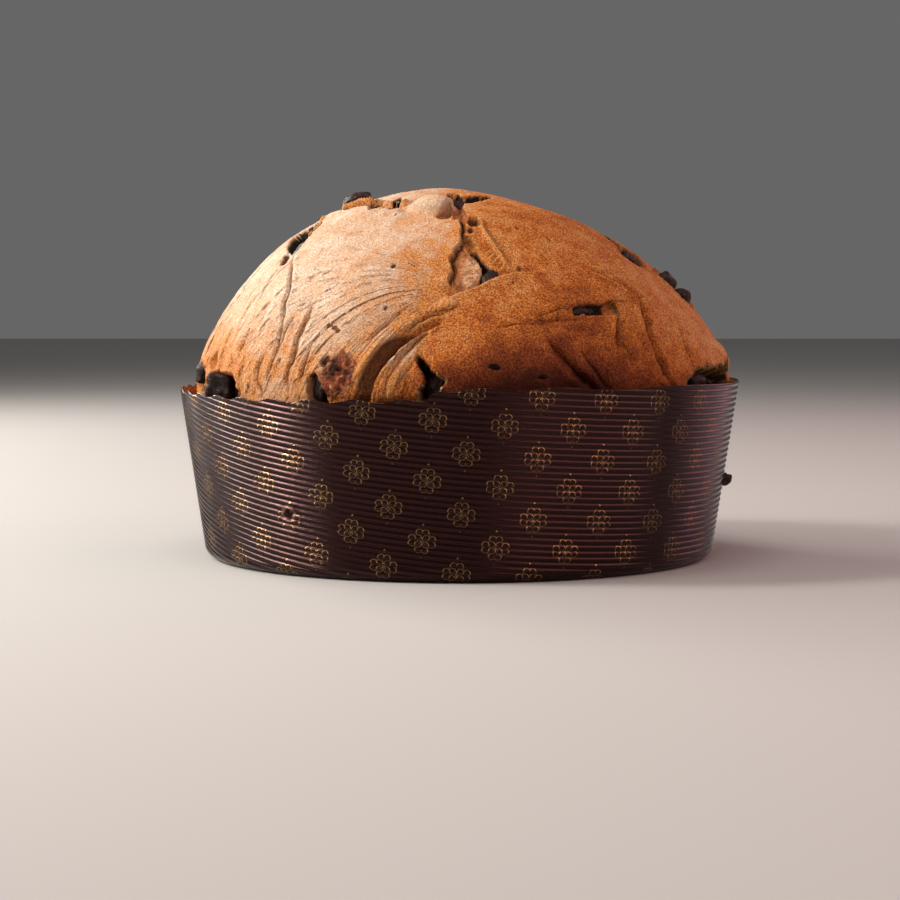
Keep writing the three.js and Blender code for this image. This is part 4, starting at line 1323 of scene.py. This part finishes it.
def crust_finish():
    paint = Finish("crust")
    place = paint.place()
    torn = paint.mark("torn")
    crease = paint.mark("crease")
    wrinkled = paint.mark("wrinkle")
    flow = paint.mark("wrinkle_place", out="Vector")
    speck = paint.grain(place, 0.62, detail=2, rough=0.7)
    patch = paint.grain(place, 5.5, detail=3, rough=0.6)
    streak = paint.grain(flow * (1, 1, 0.09), 1.5, detail=2, rough=0.5)
    hairline = 1 - paint.ease(abs(streak - 0.5), 0.0, 0.028)
    hairline = hairline * paint.ease(wrinkled, 0.25, 0.75) * paint.ease(patch, 0.42, 0.56)
    tone = paint.mark("tone") + (patch - 0.5) * 0.45 + (speck - 0.5) * 0.15
    colour = paint.ramp(tone, CRUST_RAMP)
    breaks = paint.ease(paint.grain(place, 4, detail=2), 0.4, 0.55)
    lines = thin_lines(paint, speck - 0.5, breaks)
    # Painted shade: crease shade, the thin dark lines and the hairlines darken the colour.
    shade = (crease * 0.8).sum("MAXIMUM", lines * 0.9).sum("MAXIMUM", hairline * 0.6)
    colour = paint.mix(shade, colour, colour * PAINTED_FOLD_SHADE)
    crumb_speck = paint.ease(paint.grain(place, 1.1, detail=3, rough=0.75), 0.34, 0.66, 0.5, 1.3)
    crumb_speck = (crumb_speck - 1) * paint.ease(torn, 0, 1, 0.35, 1.0) + 1
    share = paint.ease(paint.mark("tint_share") + (speck - 0.5) * 0.3, 0.2, 0.75)
    colour = paint.mix(share, colour, paint.mark("tint", out="Vector") * crumb_speck)
    light = paint.ease(speck, 0.36, 0.64)
    speckle = paint.mix(light, DARK_SPECK, LIGHT_SPECK)
    golden = paint.mix(paint.ease(speck, 0.4, 0.62), DEEP_SPECK, GOLD_SPECK)
    speckle = paint.mix(paint.ease(tone, 0.5, 0.75), golden, speckle)
    colour = colour * paint.mix(torn, speckle, NO_SPECK)
    pores = paint.ease(paint.cells(place, 1.4), 0.05, 0.35)
    height = speck * 0.25 + patch * 0.5 - hairline * 0.3 - lines * 0.6 + torn * pores * 0.6
    return paint.finish(
        Base_Color=colour,
        Roughness=paint.ease(speck, 0.3, 0.7, 0.56, 0.76) + torn * 0.1,
        Normal=paint.bump(height, 0.7),
        Specular_IOR_Level=0.2,
        Specular_Tint=CRUST_SHEEN,
    )


LOAF = make_loaf(crust_finish())
print("loaf triangles:", sum(len(face.vertices) - 2 for face in LOAF.data.polygons))

# %% [markdown]
# ## Chocolate pieces
#
# Each piece is a lump or a broken chunk. It keeps the form of its solid, a ball swollen
# towards a box with uneven faces, and gets finer roughness on top. The chocolate is dark and half
# glossy, with a little bloom and crumbs baked on to it.

# %% Chocolate sizes
# name, azimuth, height, how deep it sinks, half sizes, how square, turn and yaw in degrees
CHOCOLATES = [
    ("rim_chunk", -63.6, 65.2, 2.9, (4.8, 3.6, 5.4), 6, 3, 56),
    ("rim_left", -77, 70.5, 1.2, (3, 2.6, 4.2), 2.4, 8, 0),
    ("crown_left", -81, 133.9, -1.3, (4.5, 2.7, 5.6), 2.2, 0, 0),
    ("right_upper", 78, 104.8, 0.8, (4.4, 3.2, 3.7), 2.6, -20, 0),
    ("right_lower", 76, 98.8, 0.5, (3.8, 3.2, 3.3), 2.4, 20, 0),
    ("left_tear", -62, 118, 3.4, (3.6, 2.8, 6.4), 2.6, -28, 0),
    ("slot", 29, 94.5, 2.8, (4.6, 2.4, 2.2), 2.8, -4, 0),
    ("crown_front", -6, 135.2, 4, (4.4, 2.8, 3), 2.4, 5, 0),
    ("crown_right", 16, 134.2, 3.6, (4.2, 2.8, 2.8), 2.4, -8, 0),
    ("tear_crack", 8.5, 107.6, 3.2, (2.6, 2.2, 4.6), 2.4, 42, 0),
    ("edge_upper", 75, 120.4, 1.7, (3.8, 2.4, 2.2), 2.4, -38, 0),
    ("edge_lower", 69, 114, 1.8, (4.4, 2.4, 2.4), 2.4, -42, 0),
    ("right_rim", 62, 69, 6, (6.4, 3.2, 3.8), 2.6, 0, 0),
    ("left_slot", -29.5, 68, 4.4, (2.6, 2.6, 5.4), 3, 4, 0),
    ("front_rim", -4, 68.5, 6.2, (4.4, 3, 5), 2.4, 12, 0),
]
LUMP_ROUGHNESS = 0.045
BALL_LEVEL = 5
BACK_PIECES = 5
BACK_SQUARENESS = 2.6


def ball(level):
    """Points and faces of a finely divided ball."""
    bpy.ops.mesh.primitive_ico_sphere_add(subdivisions=level, radius=1)
    shape = bpy.context.object
    points = np.array([vertex.co[:] for vertex in shape.data.vertices])
    faces = [tuple(face.vertices) for face in shape.data.polygons]
    bpy.data.objects.remove(shape)
    return points, faces


BALL, BALL_FACES = ball(BALL_LEVEL)


def lump(size, square, seed):
    """A ball swollen towards a box, with uneven faces, like its solid."""
    flat = (np.abs(BALL) ** square).sum(1) ** (1 / square)
    sideways = np.sin(4 * BALL[:, 0] + seed) * np.sin(5 * BALL[:, 1] + 2 * seed)
    uneven = sideways + np.sin(6 * BALL[:, 2] + 3 * seed)
    shaped = BALL * ((1 + LUMP_ROUGHNESS * uneven) / flat)[:, None] * np.array(size)
    way = shaped / np.linalg.norm(shaped, axis=1, keepdims=True)
    bits = 0.22 * rough(shaped, 1.9, 600 + seed) + 0.1 * rough(shaped, 0.7, 700 + seed)
    return shaped + way * bits[:, None]


# %% Chocolate material
CHOCOLATE_DARK = (0.011, 0.0045, 0.0032)
CHOCOLATE_LIGHT = (0.028, 0.0105, 0.0075)
BLOOM = (0.12, 0.055, 0.045)
BAKED_CRUMBS = (0.3, 0.13, 0.055)


def chocolate_finish():
    paint = Finish("chocolate")
    place = paint.place()
    cloud = paint.grain(place, 2.2, detail=3, rough=0.6)
    speck = paint.grain(place, 0.6, detail=3, rough=0.65)
    colour = paint.mix(paint.ease(cloud, 0.35, 0.65), CHOCOLATE_DARK, CHOCOLATE_LIGHT)
    bloom = paint.ease(speck + cloud * 0.4, 0.74, 0.95)
    colour = paint.mix(bloom * 0.5, colour, BLOOM)
    crumbs = paint.ease(paint.cells(place, 1.5), 0.3, 0.16) * paint.ease(cloud, 0.5, 0.6)
    colour = paint.mix(crumbs * 0.85, colour, BAKED_CRUMBS)
    height = speck * 0.5 + cloud * 0.6 + crumbs * 0.5
    return paint.finish(
        Base_Color=colour,
        Roughness=paint.ease(speck + crumbs * 0.4, 0.3, 0.8, 0.36, 0.66),
        Normal=paint.bump(height, 0.5),
        Specular_IOR_Level=0.3,
    )


# %% Seat each piece
def turned_by(points, angle, first, second):
    """Turns the second axis towards the first by an angle in degrees."""
    turned = points.copy()
    turned[:, first] = points[:, first] * cos(radians(angle)) + points[:, second] * sin(radians(angle))
    turned[:, second] = points[:, second] * cos(radians(angle)) - points[:, first] * sin(radians(angle))
    return turned


def seat(points, azimuth, height, sink, turn, yaw):
    """Puts a lump into the crust: its X runs across, its Y into the bread and its Z up the dome."""
    skin = on_dome(azimuth, height)
    out, across, up = local_frame(skin)
    turned = turned_by(turned_by(points, turn, 0, 2), yaw, 1, 0)
    axes = np.array([across, -out, up])
    return turned @ axes + skin - out * sink


def make_chocolates(finish):
    for number, (name, azimuth, height, sink, size, square, turn, yaw) in enumerate(CHOCOLATES):
        shaped = lump(size, square, number + 1)
        placed = seat(shaped, azimuth, height, sink, turn, yaw)
        make_piece("chocolate_" + name, placed, BALL_FACES, finish, "choc_" + name)


def make_back_chocolates(finish):
    """The pieces round the back take their place and size from their solids."""
    for number in range(1, BACK_PIECES + 1):
        node = "choc_back_" + str(number)
        low, high = (np.array(corner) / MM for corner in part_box(node))
        shaped = lump((high - low) / 2, BACK_SQUARENESS, 20 + number)
        name = "chocolate_back_" + str(number)
        make_piece(name, shaped + (low + high) / 2, BALL_FACES, finish, node)


CHOCOLATE = chocolate_finish()
make_chocolates(CHOCOLATE)
make_back_chocolates(CHOCOLATE)
print("chocolate pieces:", len(CHOCOLATES) + BACK_PIECES)

# %% [markdown]
# ## Pulled crumb
#
# The loaf hung on skewers while it cooled. One of them pulled a bit of dark crumb out through the
# paper at the right. It is a small ragged lump, rougher than the chocolate.

# %% Pulled crumb
PULLED_CRUMB = {"azimuth": 86, "height": 29, "size": (2.6, 3.6, 2.3), "square": 2.2, "seed": 31}
CRUMB_DARK = (0.014, 0.006, 0.005)
CRUMB_LIGHT = (0.07, 0.026, 0.017)


def crumb_finish():
    paint = Finish("dark_crumb")
    place = paint.place()
    speck = paint.grain(place, 0.8, detail=3, rough=0.7)
    colour = paint.mix(paint.ease(speck, 0.35, 0.7), CRUMB_DARK, CRUMB_LIGHT)
    return paint.finish(Base_Color=colour, Roughness=0.8, Normal=paint.bump(speck, 0.6))


def make_pulled_crumb(finish):
    shaped = lump(PULLED_CRUMB["size"], PULLED_CRUMB["square"], PULLED_CRUMB["seed"])
    way = shaped / np.linalg.norm(shaped, axis=1, keepdims=True)
    shaped = shaped + way * (0.5 * rough(shaped, 1.6, 801))[:, None]
    out = facing(PULLED_CRUMB["azimuth"])
    across = facing(PULLED_CRUMB["azimuth"] + 90)
    axes = np.array([across, -out, [0, 0, 1]])
    height = PULLED_CRUMB["height"]
    middle = out * case_radius(height) + np.array([0, 0, height])
    make_piece("skewer_crumb", shaped @ axes + middle, BALL_FACES, finish, "pulled_crumb")


make_pulled_crumb(crumb_finish())

# %% [markdown]
# ## The corrugated case
#
# The case is dark paper pressed into narrow corrugations and rolled into a tapered cup, with a lap at
# the back. Because a cup is cut from a flat sheet on a curve, the corrugations and the print slant
# and bend as they go round. Both follow one rule: how far a straight line of the sheet climbs.
#
# The wall is a sheet with two faces. Its rows follow the corrugations, so eight rows make one flute
# and each crest stays a clean line all the way round. A flute isn't an even wave: its upper side
# falls back gently before it drops into the valley, and that side catches the lamp as a bright line.

# %% Case shape
SHEET_CLIMB = -9.135
SHEET_BEND = 3.511
PITCH = 2.126
FLUTE_ROWS = 8
FLUTE = ((0, 0), (0.25, -0.22), (0.45, -0.6), (0.6, -0.62), (0.85, -0.2), (1, 0))
PAPER = 0.4
CASE_COLUMNS = 300
LAP_ANGLE = 0.035
LAP_PROUD = 0.75
INNER_FROM = 47
INNER_FLUTE_ROWS = 6
HIDDEN_HEIGHTS = (INNER_FROM - 1, 26, CASE_FOOT_ROUND, 1.6, PAPER)
HIDDEN_INWARD = 1.3
FOOT_INWARD = 0.7
FOOT_BELOW = 2
ROW_MARGIN = 0.06
RIM_DROP_LEFT = 1.6
RIM_RISE_RIGHT = 2
RIM_CUT_AZIMUTH = -5.5
RIM_CUT_WIDTH = 3
RIM_WAVE = 0.5
RIM_SCALLOP = 0.6
RIM_LEVEL_FROM = 110
RIM_LEVEL_TO = 175


def sheet_climb(azimuth):
    """How far the sheet's straight lines have climbed at an azimuth in radians."""
    return SHEET_CLIMB * azimuth + SHEET_BEND * azimuth**2


def rim_height(azimuth):
    """Height of the cut rim at an azimuth in degrees."""
    turned = (azimuth + 540) % 360 - 180
    cut = ease(turned, RIM_CUT_AZIMUTH - RIM_CUT_WIDTH / 2, RIM_CUT_AZIMUTH + RIM_CUT_WIDTH / 2)
    back = ease(abs(turned), RIM_LEVEL_FROM, RIM_LEVEL_TO)
    side = -RIM_DROP_LEFT + (RIM_RISE_RIGHT + RIM_DROP_LEFT) * cut
    return CASE_HEIGHT + side * (1 - back) + RIM_WAVE * np.sin(3 * np.radians(turned) + 0.6)


def wall_radius(azimuth, height, sheet_height, inward):
    """Radius of the wall: tapered, rounded at the foot, and fluted."""
    foot = CASE_FOOT_ROUND
    foot_middle = case_radius(foot) - foot
    under = np.clip(foot - height, 0, foot)
    plain = np.where(height < foot, foot_middle + np.sqrt(foot**2 - under**2), case_radius(height))
    wave = np.interp(np.mod(sheet_height / PITCH, 1), *zip(*FLUTE)) * ease(height, 0.3, 3)
    lap = LAP_PROUD * ease(azimuth, pi - 3 * LAP_ANGLE, pi - LAP_ANGLE)
    return plain + wave - inward + lap


# %% Holes that the skewers left
SKEWER_HOLES = [(-36.7, 22.7), (143, 25), (-93, 27)]
PUSHED_IN = 0.9
PUSHED_WITHIN = (1.2, 2.2)
LIP_RISE = 0.55
LIP_RADIUS = 2.7
LIP_WIDTH = 0.6


def hole_offset(azimuth, height):
    """Distance in mm from the nearest skewer hole, for azimuths in radians."""
    best = np.full(np.shape(azimuth), np.inf)
    for hole_azimuth, hole_height in SKEWER_HOLES:
        turn = (azimuth - radians(hole_azimuth) + pi) % (2 * pi) - pi
        best = np.minimum(best, np.hypot(turn * case_radius(hole_height), height - hole_height))
    return best


def hole_shape(azimuth, height):
    """How far the paper is pushed in or stands up round the holes."""
    away = hole_offset(azimuth, height)
    spot = np.stack([azimuth * 100, height, np.zeros_like(height)], axis=-1)
    ragged = away + 0.5 * hills(spot, 1.4, 901)
    return LIP_RISE * bell(ragged - LIP_RADIUS, LIP_WIDTH) - PUSHED_IN * (1 - ease(ragged, *PUSHED_WITHIN))


# %% Wall of the case
def wall_grid(azimuths, row_height, low, inward, ids):
    """Rows along the corrugations, cut off at the low height and at the rim.

    Returns the points, the faces, and the first and last point of every column."""
    points, lows, highs, columns = [], [], [], []
    for azimuth in azimuths:
        climb = sheet_climb(azimuth)
        rim = float(rim_height(degrees(azimuth)))
        rim += RIM_SCALLOP * cos(2 * pi * (rim - climb) / PITCH)
        first = int(np.ceil((low + ROW_MARGIN - climb) / row_height))
        last = int(np.floor((rim - ROW_MARGIN - climb) / row_height))
        sheet = np.concatenate([[low - climb], np.arange(first, last + 1) * row_height, [rim - climb]])
        height = sheet + climb
        radius = wall_radius(azimuth, height, sheet, inward)
        if inward == 0:
            radius = radius + hole_shape(np.full_like(height, azimuth), height)
        start = ids + len(points)
        way = facing(degrees(azimuth))
        points.extend(way * r + np.array([0, 0, z]) for r, z in zip(radius, height))
        lows.append(start)
        highs.append(ids + len(points) - 1)
        columns.append((first, last, start))
    faces = []
    for (f0, l0, s0), (f1, l1, s1) in zip(columns[:-1], columns[1:]):
        for row in range(min(f0, f1) - 1, max(l0, l1) + 1):
            ring_ids = []
            for first, last, start, step in ((f0, l0, s0, row), (f1, l1, s1, row), (f1, l1, s1, row + 1),
                                             (f0, l0, s0, row + 1)):
                number = start + min(max(step - first + 1, 0), last - first + 2)
                if number not in ring_ids:
                    ring_ids.append(number)
            if len(ring_ids) > 2:
                faces.append(tuple(ring_ids))
    return points, faces, lows, highs


def make_case_wall(finish):
    """The outer face, the inner face near the rim, and plain rings where the loaf hides the paper."""
    azimuths = np.linspace(-pi - LAP_ANGLE, pi, CASE_COLUMNS)
    points, faces, lows, highs = wall_grid(azimuths, PITCH / FLUTE_ROWS, 0, 0, 0)
    inner, inner_faces, inner_lows, inner_highs = wall_grid(
        azimuths, PITCH / INNER_FLUTE_ROWS, INNER_FROM, PAPER, len(points))
    outer_count = len(points)
    points.extend(inner)
    faces.extend(face[::-1] for face in inner_faces)
    rings = [inner_lows]
    for height in HIDDEN_HEIGHTS:
        start = len(points)
        inward = HIDDEN_INWARD if height > FOOT_BELOW else FOOT_INWARD
        for azimuth in azimuths:
            radius = float(wall_radius(azimuth, np.float64(height), 0.0, inward))
            points.append(facing(degrees(azimuth)) * radius + np.array([0, 0, height]))
        rings.append(list(range(start, len(points))))
    rings.append(lows)
    for upper, lower in zip(rings[:-1], rings[1:]):
        for column in range(CASE_COLUMNS - 1):
            faces.append((upper[column], upper[column + 1], lower[column + 1], lower[column]))
    for column in range(CASE_COLUMNS - 1):
        faces.append((highs[column], highs[column + 1], inner_highs[column + 1], inner_highs[column]))
    end_caps(faces, lows, highs, inner_lows, inner_highs, rings)
    wall = make_piece("corrugated_wall", points, faces, finish, "paper_case")
    mark_case(wall, np.array(points), outer_count)
    return wall


def end_caps(faces, lows, highs, inner_lows, inner_highs, rings):
    """Closes the two upright ends of the sheet, where they lap at the back."""
    for column, flip in ((0, True), (CASE_COLUMNS - 1, False)):
        outside = list(range(lows[column], highs[column] + 1))
        inside = [ring_ids[column] for ring_ids in rings[1:-1]][::-1]
        inside += list(range(inner_lows[column], inner_highs[column] + 1))
        loop = outside + inside[::-1]
        faces.append(tuple(loop[::-1] if flip else loop))


def mark_case(wall, points, outer_count):
    """The place on the flat sheet, the inner face and the holes, for the finish."""
    azimuth = np.arctan2(points[:, 0], -points[:, 1])
    sheet_height = points[:, 2] - sheet_climb(azimuth)
    inner = (np.arange(len(points)) >= outer_count).astype(float)
    mark_points(wall, "sheet", np.stack([azimuth, sheet_height, points[:, 2]], axis=-1))
    mark_points(wall, "inner", inner)
    mark_points(wall, "hole", np.minimum(hole_offset(azimuth, points[:, 2]), 20))


# %% [markdown]
# ## Print on the paper
#
# The gold print is a plain four-petal flower, repeated in rows that are set off by half a step. In
# shader sums it is a field of cells: a cell's number gives the row, and the place inside the
# cell, folded over its middle, is measured against two circles and a wedge for a heart-shaped petal.
# Only the outline of the petals is gold, with a small star in the middle and dots between flowers.

# %% Paper material
ROW_STEP = 10.629
FIRST_ROW = 66.86
FAN_MIDDLE = radians(22)
COLUMN_ANGLE = radians(13.1)
COLUMN_WIDEN = radians(0.32)
COLUMN_STEP = 25.0
PETAL = {"out": 3.3, "side": 1.0, "radius": 1.12}
LINE = 0.14
WIDER = 1.05
FLATTER = 0.95
DOT = {"x": 12.5, "y": 4.73, "radius": 0.3}
PAPER_DARK = (0.006, 0.001, 0.001)
PAPER_CLOUD = (0.014, 0.003, 0.0028)
BAKED_DARK = (0.13, 0.045, 0.018)
BAKED_LIGHT = (0.3, 0.125, 0.05)
GOLD = (0.39, 0.24, 0.1)
FRAYED = (0.26, 0.12, 0.09)
PAINTED_HOLE_SHADE = (0.006, 0.003, 0.003)
PAPER_SHEEN = (1.0, 0.5, 0.48, 1.0)
# Shift of the painted light on the gold above each crest, as a share of a flute.
CREST_SHIFT = 0.1


def circle_offset(x, y, middle_x, middle_y, radius):
    """How far a place is outside a circle."""
    return ((x - middle_x) ** 2.0 + (y - middle_y) ** 2.0) ** 0.5 - radius


def gold_print(paint, azimuth, sheet_height):
    """Where the print lies: 1 on its lines, 0 beside them."""
    row = (FIRST_ROW - sheet_height) / ROW_STEP
    row_number = row.sum("ROUND")
    odd = abs(row_number.sum("MODULO", 2.0))
    column = (azimuth - FAN_MIDDLE) / (row * COLUMN_WIDEN + COLUMN_ANGLE) + (1 - odd) * 0.5
    x = abs((column - column.sum("ROUND")) * COLUMN_STEP) / WIDER
    y = abs((row - row_number) * ROW_STEP) / FLATTER
    out = x.sum("MAXIMUM", y)
    side = x.sum("MINIMUM", y)
    lobe = circle_offset(out, side, PETAL["out"], PETAL["side"], PETAL["radius"])
    wedge = ((out - 1.0) * -0.5 + side).sum("MAXIMUM", out - PETAL["out"])
    petal = lobe.sum("MINIMUM", wedge)
    line = 1 - paint.ease(abs(petal), LINE * 0.7, LINE * 1.5)
    slope = abs(out - side)
    tick = (1 - paint.ease(slope, 0.12, 0.28)) * paint.ease(out, 1.9, 2.0) * (1 - paint.ease(out, 2.5, 2.6))
    star = (1 - paint.ease(side.sum("MINIMUM", slope), 0.08, 0.2)) * (1 - paint.ease(out, 0.8, 1.05))
    away = circle_offset(x, y, DOT["x"] / WIDER, DOT["y"] / FLATTER, DOT["radius"])
    dot = 1 - paint.ease(away, -0.08, 0.12)
    return line.sum("MAXIMUM", tick).sum("MAXIMUM", star.sum("MAXIMUM", dot))


def paper_finish():
    paint = Finish("paper")
    place = paint.place()
    sheet = paint.mark("sheet", out="Vector")
    parts = paint.node("ShaderNodeSeparateXYZ", None, {0: sheet}, out="X").socket.node.outputs
    azimuth, sheet_height = Wire(paint, parts["X"]), Wire(paint, parts["Y"])
    inner = paint.mark("inner")
    hole = paint.mark("hole")
    gold = gold_print(paint, azimuth, sheet_height)
    worn = paint.ease(paint.grain(place, 0.7, detail=2, rough=0.7), 0.38, 0.56)
    # Painted light on the print: the gold is strongest on the crest and upper flank of each flute, where it
    # catches the lamps, and fades into painted shade in the valleys.
    turn = (sheet_height / PITCH - CREST_SHIFT) * (2 * pi)
    crest = paint.node("ShaderNodeMath", {"operation": "COSINE"}, {0: turn})
    gold = gold * (0.25 + worn * 0.75) * paint.ease(crest, -0.7, 0.4, 0.35, 1.0)
    gold = gold * (1 - paint.ease(inner, 0.4, 0.6)) * paint.ease(hole, 3.4, 4)
    fibre = paint.grain(place * (1, 1, 2.5), 0.8, detail=3, rough=0.6)
    cloud = paint.grain(place, 14, detail=2, rough=0.5)
    dark = paint.mix(fibre * 0.6 + cloud * 0.4, PAPER_DARK, PAPER_CLOUD)
    baked = paint.mix(paint.grain(place, 6, detail=3), BAKED_DARK, BAKED_LIGHT)
    colour = paint.mix(inner, dark, baked)
    colour = paint.mix(gold, colour, GOLD)
    # Painted shade: the pushed-in middle of each skewer hole is painted near black for the dark inside of the
    # hole.
    hole_shade = 1 - paint.ease(hole + (fibre - 0.5) * 1.2, 1.7, 2.3)
    frayed = (1 - paint.ease(hole + (fibre - 0.5) * 2, 2.6, 3.5)) * (1 - hole_shade)
    colour = paint.mix(frayed * 0.7, colour, FRAYED)
    colour = paint.mix(hole_shade, colour, PAINTED_HOLE_SHADE)
    height = fibre * 0.5 + cloud * 0.3
    return paint.finish(
        Base_Color=colour,
        Metallic=gold * 0.7,
        Roughness=paint.ease(fibre, 0.3, 0.7, 0.15, 0.25) + inner * 0.4 + hole_shade * 0.7,
        Normal=paint.bump(height, 0.06),
        Specular_IOR_Level=0.36,
        Specular_Tint=PAPER_SHEEN,
    )


BASE_COLUMNS = 180
BASE_BOTTOM = 0.05
BASE_TOP = 1.1
BASE_OVERLAP = 0.3


def make_case_base(finish):
    """The flat round base, a thin disc with its own closed edge."""
    turn = np.arange(BASE_COLUMNS) * 2 * pi / BASE_COLUMNS
    radius = case_radius(CASE_FOOT_ROUND) - CASE_FOOT_ROUND + BASE_OVERLAP
    rings = [circle(turn, radius, height) for height in (BASE_BOTTOM, BASE_TOP)]
    points = np.vstack([[[0, 0, BASE_BOTTOM]], rings[0], rings[1], [[0, 0, BASE_TOP]]])
    pairs = [(1 + column, 1 + (column + 1) % BASE_COLUMNS) for column in range(BASE_COLUMNS)]
    faces = [(low, after, after + BASE_COLUMNS, low + BASE_COLUMNS) for low, after in pairs]
    for low, after in pairs:
        faces.append((0, after, low))
        faces.append((low + BASE_COLUMNS, after + BASE_COLUMNS, len(points) - 1))
    base = make_piece("case_base", points, faces, finish, "paper_case")
    mark_case(base, points, 0)


PAPER_FINISH = paper_finish()
WALL = make_case_wall(PAPER_FINISH)
make_case_base(PAPER_FINISH)
print("case triangles:", sum(len(face.vertices) - 2 for face in WALL.data.polygons))
